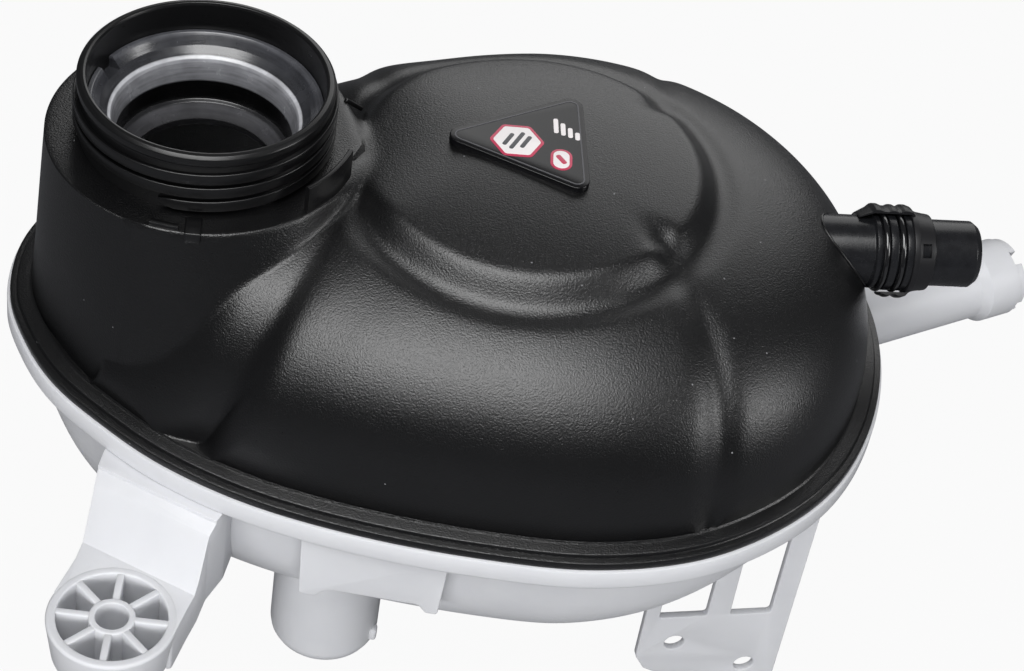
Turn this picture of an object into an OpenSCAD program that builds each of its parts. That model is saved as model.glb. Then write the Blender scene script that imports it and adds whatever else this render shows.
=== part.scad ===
// Coolant expansion tank of a car: black domed upper half welded to a milky lower half.
// Millimetres. The origin is on the axis of the filler neck, level with its rim, +Z up.
// +X runs along the tank towards the vent spigot, +Y towards the rear.

/* [Filler neck] */
// Outside radius of the neck between the threads
neck_out_r = 31; // [30.6:0.1:31.4]
// Wall of the neck at its rim
neck_wall = 2.4; // [2:0.1:3]
// Height of the thread's crest over the neck
thread_crest = 1.8; // [1.4:0.1:2.2]
// Rise of the thread in one turn
thread_pitch = 4.3; // [4:0.1:4.6]
// Depth of the tower ledge below the rim
ledge_drop = 17; // [16.5:0.5:18]
// Radius of the tower ledge
ledge_r = 38.5; // [37:0.5:40]

/* [Sealing sleeve] */
// Step from the neck's inside wall in to the sealing bore
seal_step = 7.1; // [6.6:0.1:7.6]
// Depth of the sealing bore's mouth below the rim
seal_drop = 18.5; // [18:0.5:19]
// Length of the sealing bore
seal_len = 6; // [5:0.5:7]
// Step from the sealing bore in to the narrow throat below it
throat_step = 3.6; // [3:0.1:4.5]

/* [Shells] */
// Wall of both shells
wall = 2.8; // [2.4:0.2:3.2]
// Depth of the welding plane below the rim
weld_drop = 70; // [70:1:72]
// Thickness of the black flange
flange_t = 3.5; // [3:0.25:4]
// Width of the flange outside the wall
flange_w = 5; // [4.5:0.25:5.5]
// Depth of the crown below the rim
crown_drop = 17; // [16:0.5:18]
// Height the round disc stands above the dome
disc_rise = 3.2; // [2:0.2:4]
// Thickness of the white flange
low_flange_t = 6.5; // [6:0.5:8]
// Depth of the bowl under the white flange
bowl_depth = 47.5; // [44:0.5:50]

/* [Vent spigot] */
// Outside radius of the spigot tube
vent_r = 8.9; // [8.5:0.1:9.2]
// Bore radius of the spigot
vent_bore_r = 6.5; // [6:0.1:7]
// Length of the spigot outside the dome
vent_len = 38; // [36:1:42]

/* [Foot and bracket] */
// Radius of the eye in the lattice foot
eye_r = 4; // [3.5:0.1:4.4]
// Outside radius of the lattice foot
foot_r = 15.7; // [15:0.1:16.5]
// Height of the lattice foot
foot_h = 12; // [11:1:14]
// Radius of the fixing holes in the windowed bracket
hole_r = 2.7; // [2.2:0.1:3]
// Thickness of the windowed bracket
bracket_t = 2.2; // [2:0.2:3]

/* [Float] */
// Outside radius of the level float
float_r = 9.2; // [8.5:0.1:9.6]
// Height of the level float
float_h = 14; // [12:1:15]
// Travel of the float on its post
float_travel = 20; // [12:1:20]

/* [Hidden] */
neck_in_r = neck_out_r - neck_wall;
thread_r = neck_out_r + thread_crest;
seal_r = neck_in_r - seal_step;
throat_r = seal_r - throat_step;
weld_z = -weld_drop;
flange_z = weld_z + flange_t;
crown_z = -crown_drop;
ledge_z = -ledge_drop;
// Facets of a full circle on large, middle and small round parts
fine = 96;
medium = 64;
small = 48;

// Corner points of the flange edge, front half from the neck end to the vent end
front_pts = [
  [-46.8, 2], [-44.6, -15.1], [-37.6, -28.9], [-27.6, -41.5], [-14.4, -51.7],
  [4.5, -62.7], [28, -70.6], [55, -74.4], [84, -74.9], [111.3, -72.2],
  [135.8, -63.4], [155, -48.8], [168.5, -31], [176.3, -9.5], [178.7, 13]
];
// Rear half, the same way round
rear_pts = [
  [-46.8, 2], [-43.6, 17.5], [-36.5, 30.5], [-26.5, 40.5], [-13, 49.5],
  [6, 60.5], [28, 73], [55, 86], [84, 94.5], [111.3, 93.3],
  [135.8, 85.4], [155, 70.8], [168.5, 53], [176.3, 33], [178.7, 13]
];
half_n = len(front_pts) - 1;
loop_pts = concat(front_pts, [for (k = [half_n - 1:-1:1]) rear_pts[k]]);
loop_n = len(loop_pts);
// Columns of the shell skins between two corner points
col_n = 5;
cols = loop_n * col_n;
half_cols = half_n * col_n;

// Smooth closed curve through the corner points, p counted in corner points
function curve_at(p) =
  let (i = floor(p), t = p - i,
    a = loop_pts[(i + loop_n - 1) % loop_n], b = loop_pts[i % loop_n],
    c = loop_pts[(i + 1) % loop_n], d = loop_pts[(i + 2) % loop_n])
  0.5 * (2 * b + (c - a) * t + (2 * a - 5 * b + 4 * c - d) * t * t + (3 * b - 3 * c + d - a) * t * t * t);
edge = [for (k = [0:cols - 1]) curve_at(k / col_n)];
edge_in = [for (k = [0:cols - 1])
  let (t = edge[(k + 1) % cols] - edge[(k + cols - 1) % cols])
  [-t.y, t.x] / norm(t)];
function inset(k, w) = edge[k] + w * edge_in[k];

// Middle of the dome, and the line from the neck axis to it that the skins grow from
dome_c = [79.5, 11];
spine_end = [82, 11];
spine_lo = 4 / half_n;
spine_hi = 7.5 / half_n;
function clamp01(v) = min(max(v, 0), 1);
function along(k) = (k <= half_cols ? k : cols - k) / half_cols;
function blend(k) = clamp01((along(k) - spine_lo) / (spine_hi - spine_lo));
function spine(k) = blend(k) * spine_end;

// Radius of the dome's foot round dome_c, every 15 degrees from -180
foot_radii = [
  70, 73, 84, 98, 90.2, 83.7, 81.3, 82.9, 86.5, 90.2, 93, 94.1,
  94.4, 94.4, 92.9, 90.2, 86.2, 82, 78, 74.6, 73.8, 77, 78, 72
];
function foot_at(a) =
  let (q = (a + 180) / 15, i = floor(q), t = q - i,
    w = foot_radii[(i + 23) % 24], x = foot_radii[i % 24],
    y = foot_radii[(i + 1) % 24], z = foot_radii[(i + 2) % 24])
  0.5 * (2 * x + (y - w) * t + (2 * w - 5 * x + 4 * y - z) * t * t + (3 * x - 3 * y + z - w) * t * t * t);

// The dome's left flank drops to a valley beside the tower, left of a straight line in plan
valley_at = [42, -15];
valley_lean = 0.367;
flank_fall = 1.4;
flank_soft = 2.5;
function flank_drop(x, y) =
  let (left = ((y - valley_at.y) * valley_lean - (x - valley_at.x)) / norm([1, valley_lean]))
  flank_fall * (left + norm([left, flank_soft])) / 2 * ease((-8 - y) / 14);

dome_pow = 2.5;
disc_r = 44;
groove_r = 49.5;
groove_w = 3;
groove_d = 0.9;
fold_w = 4;
fold_d = 2.2;
dimple_d = 2;
dimple_w = 4;
front_dimple = [114.5, -11];
rear_dimple = [109, 43];
function ease(v) = let (t = clamp01(v)) t * t * (3 - 2 * t);
function bell(v) = exp(-v * v);
function softmax(a, b, k) = let (h = clamp01(0.5 + 0.5 * (a - b) / k)) b * (1 - h) + a * h + k * h * (1 - h);

// Two folds press the dome in, one at the front and one at the rear, each along its own bearing
function fold_bearing(r) = -32.5 - 0.36 * (r - 41);
function rear_bearing(r) = 47 + 0.7 * (r - 44);
function fold_in(r, a) =
  fold_d * ease((r - 38) / 8) * (bell(r * sin(a - fold_bearing(r)) / fold_w)
    + 0.8 * bell(r * sin(a - rear_bearing(r)) / fold_w) * (abs(a - 60) < 45 ? 1 : 0));

function dome_z(x, y) =
  let (dx = x - dome_c.x, dy = y - dome_c.y, r = norm([dx, dy]), a = atan2(dy, dx),
    u = (r + (r > 30 ? fold_in(r, a) : 0)) / foot_at(a),
    base = u < 1 ? pow(1 - pow(u, dome_pow), 1 / dome_pow) : -(u - 1) * 4)
  flange_z + (crown_z - flange_z) * base
    + disc_rise * ease((disc_r + 4 - r) / 7)
    - groove_d * bell((r - groove_r) / groove_w)
    - dimple_d * bell(norm([x, y] - front_dimple) / dimple_w)
    - 0.8 * dimple_d * bell(norm([x, y] - rear_dimple) / dimple_w)
    - flank_drop(x, y);

// Radius of the tower's foot on the neck side, and how far it spreads towards the dome
tower_foot_r = 41.6;
tower_spread = 16.5;
tower_tuck = 9;
ledge_soft = 1.2;
facet_soft = 1.5;
valley_soft = 2.5;
// The tower wall is a steep cone; at the front a flatter facet runs from a ridge to the valley
function tower_z(x, y) =
  let (r = norm([x, y]), a = r > 0 ? atan2(y, x) : 180, c = cos(a),
    tuck = y > 0 ? tower_tuck * ease((c - 0.3) / 0.5) : 0,
    foot = tower_foot_r + tower_spread * pow(clamp01(c + 0.75), 1.5) - tuck,
    fall = (ledge_z - flange_z) / (foot - ledge_r),
    cone = -softmax(-ledge_z, -ledge_z + fall * (r - ledge_r), ledge_soft),
    ridge_r = ledge_r + 0.5 + 7.5 * pow(max((-a - 25) / 49, 0), 2.2),
    facet_fall = 0.98 + 0.5 * ease((a + 62) / 20) + 0.6 * ease((-74 - a) / 16),
    facet = ledge_z - fall * (ridge_r - ledge_r) - facet_fall * (r - ridge_r))
  a < 0 && a > -110 && r > ledge_r - 0.5 ? min(softmax(cone, facet, facet_soft), ledge_z) : cone;
function top_z(x, y) = max(flange_z, softmax(tower_z(x, y), dome_z(x, y), valley_soft));

// Distances from the neck axis and from the dome's middle where the skin has its rings
neck_rings = [0, 10, 20, 29, 34, 36.5, 37.8, 38.6, 39.4];
dome_rings = [0, 14, 28, 38, 42, 45, 47.5, 50, 53];
top_n = len(neck_rings);
// Rest of the way to the foot of the wall, as shares
wall_steps = [0.12, 0.26, 0.4, 0.54, 0.67, 0.78, 0.87, 0.94, 0.98];
skin_n = top_n + len(wall_steps);
function step_at(k, j) =
  let (w = blend(k), len_k = norm(inset(k, flange_w) - spine(k)),
    a = (1 - w) * neck_rings[min(j, top_n - 1)] + w * dome_rings[min(j, top_n - 1)])
  (j < top_n ? a : a + (len_k - a) * wall_steps[j - top_n]) / len_k;
in_rings_used = [16, 13, 10, 7, 5, 2, 0];
// The skin rolls down to the flange over the last few per cent of its way
function foot_roll(s) = pow(max(1 - pow(s, 40), 0), 0.2);
function skin_ring(j, w, sink) = [for (k = [0:cols - 1])
  let (s = step_at(k, j), c = spine(k), q = c + s * (inset(k, flange_w) - c),
    z = flange_z + (top_z(q.x, q.y) - flange_z) * foot_roll(s),
    p = c + s * (inset(k, flange_w + w) - c))
  [p.x, p.y, w == 0 ? z : weld_z + (z - flange_z) * sink]];
function flat_ring(w, z) = [for (k = [0:cols - 1]) let (p = inset(k, w)) [p.x, p.y, z]];
in_sink = (crown_z - wall - weld_z) / (crown_z - flange_z);

// Faces between ring a and ring b; a ring on the spine gives single triangles at its ends
function same(p, q) = norm(p - q) < 0.0001;
function strip(rings, a) = [for (k = [0:cols - 1])
  let (m = (k + 1) % cols, i = a * cols, j = (a + 1) * cols)
  each concat(
    same(rings[a][k], rings[a][m]) ? [] : [[i + k, i + m, j + k]],
    same(rings[a + 1][k], rings[a + 1][m]) ? [] : [[i + m, j + m, j + k]])];
module skin(rings) {
  polyhedron(points = [for (r = rings) each r],
    faces = [for (a = [0:len(rings) - 2]) each strip(rings, a)], convexity = 8);
}

module upper_skin() {
  skin(concat(
    [for (j = [0:skin_n - 1]) skin_ring(j, 0, 1)],
    [flat_ring(flange_w, flange_z), flat_ring(1.9, flange_z), flat_ring(1.7, flange_z - 1.2),
     flat_ring(0, flange_z - 1.2), flat_ring(0, weld_z), flat_ring(flange_w + wall, weld_z)],
    [for (j = in_rings_used) skin_ring(j, wall, in_sink)]));
}

// Screw thread of the cap, swept round the neck as a ridge that fades in at both ends
thread_turns = 2.9;
thread_cuts = 32;
thread_top = -3.2;
thread_start = 215;
thread_n = floor(thread_turns * thread_cuts);
function thread_cut(j) =
  let (a = thread_start - 360 * j / thread_cuts, z = thread_top - 2 - thread_pitch * j / thread_cuts,
    f = clamp01(min(j, thread_n - j) / 3),
    r0 = neck_out_r - 0.6, r1 = r0 + 0.1 + (thread_r - r0 - 0.1) * f, g = 0.55 + 0.45 * f)
  [for (p = [[r0, -1.5 * g], [r1, -0.75 * g], [r1, 0.15 * g], [r0, 1.5 * g]])
    [p[0] * cos(a), p[0] * sin(a), z + p[1]]];
module thread() {
  cuts = [for (j = [0:thread_n]) thread_cut(j)];
  last = thread_n * 4;
  polyhedron(points = [for (c = cuts) each c],
    faces = concat([[0, 1, 2, 3]], [[last + 3, last + 2, last + 1, last]],
      [for (j = [0:thread_n - 1]) for (q = [0:3])
        let (a = 4 * j + q, b = 4 * j + (q + 1) % 4)
        each [[a, a + 4, b], [b, a + 4, b + 4]]]), convexity = 6);
}

neck_foot_z = -34;
sleeve_seat_z = -30;
sleeve_gap = 0.05;
seat_w = 3.2;
vent_root = [159.4, 25.4, -41];
vent_bearing = 11.2;
vent_grip = 0.04;
module at_vent() {
  translate(vent_root) rotate([0, 0, vent_bearing]) rotate([0, 90, 0]) children();
}

lug_at = -82.3;
lug_w = 4;
lug_len = 6.2;
lug_h = 3.2;
step_at_deg = -98.2;
step_sweep = 10.5;
step_h = 0.8;
stop_r = ledge_r - 0.5;
stop_t = 1.3;
stop_top_z = -9.5;
stop_from = -38.5;
stop_sweep = 28;
module sector(r, from, to) {
  polygon([[0, 0], [r * cos(from), r * sin(from)], [r * cos(to), r * sin(to)]]);
}
// A low wall on the ledge between two radii, from one bearing round by a sweep
module ledge_arc(r_in, r_out, top, from, sweep) {
  low = ledge_z - 2;
  far = r_out / cos(sweep / 2) + 1;
  intersection() {
    translate([0, 0, low]) difference() {
      cylinder(r = r_out, h = top - low, $fn = fine);
      translate([0, 0, -1]) cylinder(r = r_in, h = top - low + 2, $fn = fine);
    }
    translate([0, 0, low - 1]) linear_extrude(height = top - low + 2)
      sector(far, from, from + sweep);
  }
}

module upper_shell() {
  color([0.07, 0.07, 0.075])
  difference() {
    union() {
      upper_skin();
      translate([0, 0, neck_foot_z]) cylinder(r = neck_out_r, h = -neck_foot_z - 0.8, $fn = fine);
      translate([0, 0, -0.8]) cylinder(r1 = neck_out_r, r2 = neck_out_r - 0.8, h = 0.8, $fn = fine);
      thread();
      // locating lug across the ledge's edge, with a low step beside it
      rotate([0, 0, lug_at])
        translate([ledge_r + 0.7 - lug_len, -lug_w / 2, ledge_z + 0.6 - lug_h]) cube([lug_len, lug_w, lug_h]);
      ledge_arc(ledge_r - 2.4, ledge_r - 0.9, ledge_z + step_h, step_at_deg, step_sweep);
      // thin stop wall that runs round the right side of the neck
      ledge_arc(stop_r - stop_t, stop_r, stop_top_z, stop_from, stop_sweep);
    }
    translate([0, 0, sleeve_seat_z]) cylinder(r = neck_in_r, h = 40, $fn = fine);
    translate([0, 0, -60]) cylinder(r = neck_in_r - seat_w, h = 60, $fn = fine);
    at_vent() translate([0, 0, -30]) cylinder(r = vent_r - vent_grip, h = 60, $fn = fine);
    translate([0, 0, label_z]) label_prism(label_r + label_gap, 6);
  }
}

sleeve_top_z = -8;
notch_at = 163;
notch_w = 5.2;
notch_d = 3.2;
module neck_insert() {
  seal_z = -seal_drop;
  sleeve_r = neck_in_r - sleeve_gap;
  // a place in the funnel, as a share of the way from the sealing bore out to the sleeve's wall
  function out(share) = seal_r + share * (sleeve_r - seal_r);
  color([0.16, 0.16, 0.17])
  difference() {
    rotate_extrude($fn = fine)
      polygon([
        [throat_r, sleeve_seat_z], [sleeve_r, sleeve_seat_z], [sleeve_r, sleeve_top_z],
        [out(0.84), sleeve_top_z], [out(0.77), sleeve_top_z - 0.6], [out(0.55), sleeve_top_z - 2.6],
        [out(0.34), sleeve_top_z - 3.9], [out(0.26), seal_z + 6], [out(0.18), seal_z + 5.6],
        [out(0.13), seal_z + 4.8], [seal_r, seal_z], [seal_r, seal_z - seal_len],
        [seal_r - 1.2, seal_z - seal_len], [seal_r - 1.6, seal_z - seal_len - 0.6],
        [throat_r, seal_z - seal_len - 3.6]]);
    // vent notch in the rim of the sleeve
    rotate([0, 0, notch_at]) translate([sleeve_r - 3.35, -notch_w / 2, sleeve_top_z - notch_d])
      cube([5, notch_w, 5]);
  }
}

label_t = 2;
label_r = 3.2;
label_pts = [[62, 10], [87, 28.5], [91.4, 0.5]];
label_proud = 1.2;
label_z = crown_z + disc_rise + label_proud - label_t;
label_gap = 0.1;
module label_plate() {
  color([0.03, 0.03, 0.035])
  difference() {
    translate([0, 0, label_z]) label_prism(label_r, label_t);
    translate([0, 0, label_z + label_t - 0.35]) label_prism(label_r - 1.3, 1);
  }
}
module label_prism(r, h) {
  linear_extrude(height = h) hull()
    for (p = label_pts) translate(p) circle(r = r, $fn = 32);
}

ring_at = [12.1, 16.4];
ring_wire = 0.75;
ring_seat_r = 9.2;
ring_seat_w = 2.2;
land_r = 10.2;
hose_r = 8.6;
hose_z = 25.4;
collar_z = 19.2;
collar_t = 1.6;
collar_r = 10.7;
collar_cone_len = 4.2;
collar_seat_r = 9;
collar_gap = 0.02;
module vent_spigot() {
  color([0.05, 0.05, 0.055])
  at_vent() rotate_extrude($fn = fine)
    polygon([
      [vent_bore_r, -12], [vent_r, -12], [vent_r, 9.4], [land_r - 0.4, 9.8], [land_r - 0.4, ring_lo(0)],
      [ring_seat_r, ring_lo(0)], [ring_seat_r, ring_hi(0)], [land_r, ring_hi(0)], [land_r, ring_lo(1)],
      [ring_seat_r, ring_lo(1)], [ring_seat_r, ring_hi(1)], [land_r, ring_hi(1)], [land_r, collar_z],
      [collar_seat_r, collar_z], [collar_seat_r, hose_z], [hose_r, hose_z], [hose_r, vent_len - 1.6],
      [hose_r - 1.2, vent_len], [vent_bore_r, vent_len]]);
}
function ring_lo(i) = ring_at[i] - ring_seat_w / 2;
function ring_hi(i) = ring_at[i] + ring_seat_w / 2;

module spigot_rings() {
  color([0.09, 0.09, 0.1])
  at_vent() for (t = ring_at) translate([0, 0, t])
    rotate_extrude($fn = fine) translate([ring_seat_r + ring_wire - 0.02, 0]) circle(r = ring_wire, $fn = 24);
}

window_at = 47;
window_w = 3.6;
arm_in_r = 10.95;
arm_at = [137, 317];
arm_half = [33, 15];
// The lower arm is the shorter one, as the dome's wall is close below it
arm_tip_z = [4, 12.8];
// Section of a snap arm: sloping lead, three bumps over the rings, root on the collar
arm_pts = [
  [9.25, 6], [9.3, 5.7], [9.7, 6], [11.3, 8.9], [12.1, 9.8], [12.1, 11], [11.6, 12.2], [11.6, 13.4],
  [12, 14.2], [12, 15], [11.6, 15.8], [11.6, 16.6], [12.1, 17.4], [12.1, 18.4], [11.7, 19.6],
  [10.4, collar_z + 1.4], [10.4, collar_z + 0.3], [arm_in_r, collar_z + 0.3], [arm_in_r, 9.6], [10.7, 8.9]
];
module spigot_collar() {
  color([0.06, 0.06, 0.065])
  at_vent() difference() {
    union() {
      translate([0, 0, collar_z]) cylinder(r = collar_r, h = collar_t, $fn = fine);
      translate([0, 0, collar_z + collar_t])
        cylinder(r1 = collar_r - 0.2, r2 = collar_r - 0.9, h = collar_cone_len, $fn = fine);
      for (i = [0, 1]) snap_arm(arm_at[i], arm_half[i], arm_tip_z[i]);
    }
    translate([0, 0, collar_z - 1]) 
      cylinder(r = collar_seat_r + collar_gap, h = collar_t + collar_cone_len + 2, $fn = fine);
    for (a = [window_at:90:window_at + 270])
      rotate([0, 0, a]) translate([8.5, -window_w / 2, collar_z + collar_t + 0.6]) cube([4, window_w, 2.4]);
  }
}
module snap_arm(at, half, tip_z) {
  far = (collar_r + 5) / cos(half);
  intersection() {
    rotate_extrude($fn = fine) polygon(arm_pts);
    translate([0, 0, tip_z]) linear_extrude(height = collar_z + 4 - tip_z)
      sector(far, at - half, at + half);
  }
}

// Lower shell
low_z = weld_z - low_flange_t;
low_over = 0.8;
bowl_in = 6.5;
bowl_pow = 3;
bowl_steps = [0.985, 0.95, 0.9, 0.82, 0.7, 0.5, 0.25, 0];
neck_end_rise = 12;
vent_end_rise = 14;
// Depth of the bowl a share q of the way along, and its skin a share s of the way out
function bowl_deep(q) =
  bowl_depth - neck_end_rise * ease((0.34 - q) / 0.3) - vent_end_rise * ease((q - 0.62) / 0.25);
function bowl_z(k, s, d) =
  let (q = along(k), rim = bowl_deep(q), mid = bowl_deep(min(max(q, spine_lo), spine_hi)))
  low_z - (rim + (mid - rim) * pow(1 - s, 2) - d) * pow(1 - pow(s, bowl_pow), 1 / bowl_pow);
function bowl_ring(s, w, d) = [for (k = [0:cols - 1])
  let (c = spine(k), p = c + s * (inset(k, w) - c)) [p.x, p.y, bowl_z(k, s, d)]];
function ring2(r) = [for (k = [0:2:cols - 1]) r[k]];
cols2 = cols / 2;
function strip2(rings, a) = [for (k = [0:cols2 - 1])
  let (m = (k + 1) % cols2, i = a * cols2, j = (a + 1) * cols2)
  each concat(
    same(rings[a][k], rings[a][m]) ? [] : [[i + k, i + m, j + k]],
    same(rings[a + 1][k], rings[a + 1][m]) ? [] : [[i + m, j + m, j + k]])];
module bowl_skin() {
  all_rings = concat(
    [flat_ring(flange_w + wall, weld_z), flat_ring(-low_over, weld_z), flat_ring(-low_over, low_z + 1),
     flat_ring(0, low_z), flat_ring(bowl_in, low_z)],
    [for (s = bowl_steps) bowl_ring(s, bowl_in, 0)]);
  inner = [for (k = [len(bowl_steps) - 1:-1:0]) bowl_ring(bowl_steps[k], flange_w + wall + 1.2, wall)];
  rings = [for (r = all_rings) ring2(r)];
  in_rings = [for (r = inner) ring2(r)];
  outer = [for (a = [0:len(rings) - 2]) each strip2(rings, a)];
  base = len(rings) * cols2;
  inner_f = [for (a = [0:len(in_rings) - 2]) each strip2(in_rings, a)];
  join_a = base + (len(in_rings) - 1) * cols2;
  join_f = [for (k = [0:cols2 - 1]) let (m = (k + 1) % cols2)
    each [[join_a + k, join_a + m, k], [join_a + m, m, k]]];
  polyhedron(points = [for (r = concat(rings, in_rings)) each r],
    faces = concat(outer, [for (f = inner_f) f + [base, base, base]], join_f), convexity = 8);
}

sump_c = [46.6, -47];
sump_r = 14;
sump_z = -124.5;
sump_round = 13;
sump_top = -104;
post_r = 4;
float_rest = 0.1;
clip_gap = 0.6;
cup_low_z = sump_z - sump_round;
cup_floor_z = sump_z - 10;
sensor_r = 2.4;
sensor_len = 19;
post_grip = 0.04;
float_gap = 0.35;
float_z = sump_z - 6.8;
post_top = float_z + float_h + float_travel + clip_gap;
module sump_out() {
  translate([sump_c.x, sump_c.y, 0]) rotate_extrude($fn = medium)
    polygon(concat([[0, sump_top], [sump_r, sump_top]],
      [for (a = [0:15:90]) [sump_r - 9 + 9 * cos(a), sump_z - 4 - 9 * sin(a)]],
      [[0, cup_low_z]]));
}
post_pin_r = 2.6;
module guide_post() {
  color([0.75, 0.76, 0.77])
  translate([sump_c.x, sump_c.y, 0]) difference() {
    union() {
      translate([0, 0, cup_low_z]) cylinder(r = post_r, h = post_top - cup_low_z, $fn = medium);
      translate([0, 0, cup_floor_z])
        cylinder(r = post_r + 2.5, h = float_z - float_rest - cup_floor_z, $fn = medium);
      translate([0, 0, post_top]) cylinder(r = post_pin_r, h = 3, $fn = medium);
    }
    translate([0, 0, cup_low_z - 1]) cylinder(r = sensor_r, h = sensor_len + 1, $fn = small);
  }
}
module sump_in() {
  r = sump_r - 2.6;
  translate([sump_c.x, sump_c.y, 0]) rotate_extrude($fn = medium)
    polygon(concat([[0, sump_top + 10], [r, sump_top + 10]],
      [for (a = [0:15:90]) [r - 3 + 3 * cos(a), cup_floor_z + 3 - 3 * sin(a)]], [[0, cup_floor_z]]));
}

foot_c = [0.8, -94.6];
foot_top = -90;
foot_draft = 1.4;
fold_start = [-10, -64.5];
fold_turn = -19.4;
fold_z = low_z - 2;
fold_run = 9.1;
hub_r = 5.6;
rim_t = 2.5;
rib_t = 1.8;
arm_r = foot_r - 0.6;
module foot_plan(w) {
  polygon([[-10 + w, -48], [-10.8 + w, -60], [-10.8 + w, -66], [-11.8 + w, -79], [foot_c.x - arm_r + w, -91],
    [foot_c.x, foot_c.y], [foot_c.x + arm_r - w, -98], [17.6 - w, -88], [18.8 - w, -82], [19.5 - w, -75],
    [22.3 - w, -67], [23 - w, -58]]);
}
module foot_cells(z, h) {
  translate([foot_c.x, foot_c.y, z]) difference() {
    cylinder(r = foot_r - rim_t, h = h, $fn = fine);
    translate([0, 0, -1]) cylinder(r = hub_r, h = h + 2, $fn = fine);
    for (a = [0:45:135]) rotate([0, 0, a + 4])
      translate([-foot_r, -rib_t / 2, -1]) cube([2 * foot_r, rib_t, h + 2]);
  }
}
module foot() {
  foot_low = foot_top - foot_h;
  difference() {
    union() {
      translate([0, 0, foot_low]) linear_extrude(height = low_z - foot_low + 0.5) foot_plan(0);
      translate([foot_c.x, foot_c.y, foot_low])
        cylinder(r1 = foot_r - foot_draft, r2 = foot_r, h = foot_h, $fn = fine);
      translate([foot_c.x, foot_c.y, foot_top - 0.01]) cylinder(r = foot_r, h = 1, $fn = fine);
    }
    // sloped top from the fold down to the lattice
    translate([fold_start.x, fold_start.y, 0]) rotate([0, 0, fold_turn]) translate([-30, 0, 0])
      rotate([90, 0, 90]) linear_extrude(height = 100)
      polygon([[0, fold_z], [-fold_run, foot_top], [-70, foot_top], [-70, -60], [3, -60], [3, low_z - 0.5]]);
    foot_cells(foot_low - 1, foot_h + 2);
    translate([foot_c.x, foot_c.y, foot_low - 1]) cylinder(r = eye_r, h = foot_h + 2, $fn = fine);
    // hollow underside of the arm
    translate([0, 0, foot_low - 1]) linear_extrude(height = foot_h - 1.6)
      polygon([[-8, -52], [-9, -76], [8, -76.6], [15.6, -80], [19, -67], [19.6, -52]]);
  }
}

bracket_root = [169, -27.4];
bracket_bearing = 16.4;
hole_pts = [[-31.7, -132.5], [-10.6, -142.9]];
module bracket_plan() {
  difference() {
    polygon([[-1.5, low_z + 1], [-1.5, -156], [-3, -158], [-18, -158], [-20.5, -155], [-21.5, -147.5],
      [-24, -145.2], [-34, -145.2], [-38.5, -142.6], [-41.4, -137.5], [-41.4, -112], [-55, -104],
      [-60, low_z + 1]]);
    polygon([[-37.5, -122], [-37.5, -100], [-24.6, -100], [-24.6, -122]]);
    polygon([[-18.3, -122], [-18.7, -88], [-7.4, -88], [-7.2, -122]]);
  }
}
module bracket() {
  translate([bracket_root.x, bracket_root.y, 0]) rotate([0, 0, bracket_bearing]) difference() {
    rotate([90, 0, 0]) translate([0, 0, -bracket_t]) linear_extrude(height = bracket_t) bracket_plan();
    for (p = hole_pts)
      translate([p[0], -2, p[1]]) rotate([-90, 0, 0]) cylinder(r = hole_r, h = bracket_t + 4, $fn = small);
  }
}

tab_root = [41.1, -72.2, 0];
tab_t = 2.6;
module front_tab() {
  translate(tab_root) rotate([0, 0, -1]) rotate([90, 0, 0]) translate([0, 0, -tab_t])
    linear_extrude(height = tab_t)
    polygon([[0, low_z + 1], [0.6, -96.6], [4.6, -96.6], [7.6, -93.4], [30, -92.8], [32, -95.2],
      [35, -95.2], [36.1, low_z + 1]]);
}

nozzle_root = [191.5, 67, -90];
nozzle_bearing = 34.5;
nozzle_r = 9.4;
nozzle_end_r = 11;
nozzle_bore_r = 7.2;
nozzle_len = 33;
lip_len = 2.4;
lip_gap = 4;
module at_nozzle() {
  translate(nozzle_root) rotate([0, 0, nozzle_bearing]) rotate([0, 90, 0]) children();
}

module lower_shell() {
  color([0.86, 0.87, 0.88])
  difference() {
    union() {
      bowl_skin();
      sump_out();
      foot();
      bracket();
      front_tab();
      nozzle();
    }
    sump_in();
    translate([sump_c.x, sump_c.y, cup_low_z - 1]) cylinder(r = post_r - post_grip, h = 8, $fn = medium);
    at_nozzle() translate([0, 0, -60]) cylinder(r = nozzle_bore_r, h = 120, $fn = fine);
    for (a = [20:90:290]) at_nozzle() rotate([0, 0, a])
      translate([6, -lip_gap / 2, nozzle_len - lip_len - 0.4]) cube([10, lip_gap, 5]);
  }
}
module nozzle() {
  at_nozzle() rotate_extrude($fn = fine)
    polygon([[0, -34], [nozzle_r, -34], [nozzle_r, nozzle_len - 14.5], [nozzle_end_r, nozzle_len - 12],
      [nozzle_end_r, nozzle_len - lip_len], [nozzle_end_r - 0.5, nozzle_len - lip_len],
      [nozzle_end_r - 0.5, nozzle_len], [0, nozzle_len]]);
}

magnet_r = 7.2;
magnet_h = 3;
module float_ring() {
  color([0.9, 0.9, 0.86])
  translate([sump_c.x, sump_c.y, float_z]) difference() {
    cylinder(r = float_r, h = float_h, $fn = medium);
    translate([0, 0, -1]) cylinder(r = post_r + float_gap, h = float_h + 2, $fn = medium);
    translate([0, 0, -1]) cylinder(r = magnet_r, h = magnet_h + 1, $fn = medium);
  }
}
module float_magnet() {
  color([0.3, 0.3, 0.32])
  translate([sump_c.x, sump_c.y, float_z]) difference() {
    cylinder(r = magnet_r, h = magnet_h, $fn = medium);
    translate([0, 0, -1]) cylinder(r = post_r + float_gap + 0.6, h = magnet_h + 2, $fn = medium);
  }
}
clip_t = 1.2;
clip_slack = 0.02;
module post_clip() {
  color([0.2, 0.2, 0.22])
  translate([sump_c.x, sump_c.y, post_top]) difference() {
    cylinder(r = post_r + 3, h = clip_t, $fn = medium);
    translate([0, 0, -1]) cylinder(r = post_pin_r + clip_slack, h = clip_t + 2, $fn = medium);
  }
}

upper_shell();
neck_insert();
label_plate();
vent_spigot();
spigot_rings();
spigot_collar();
lower_shell();
guide_post();
float_ring();
float_magnet();
post_clip();
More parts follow.
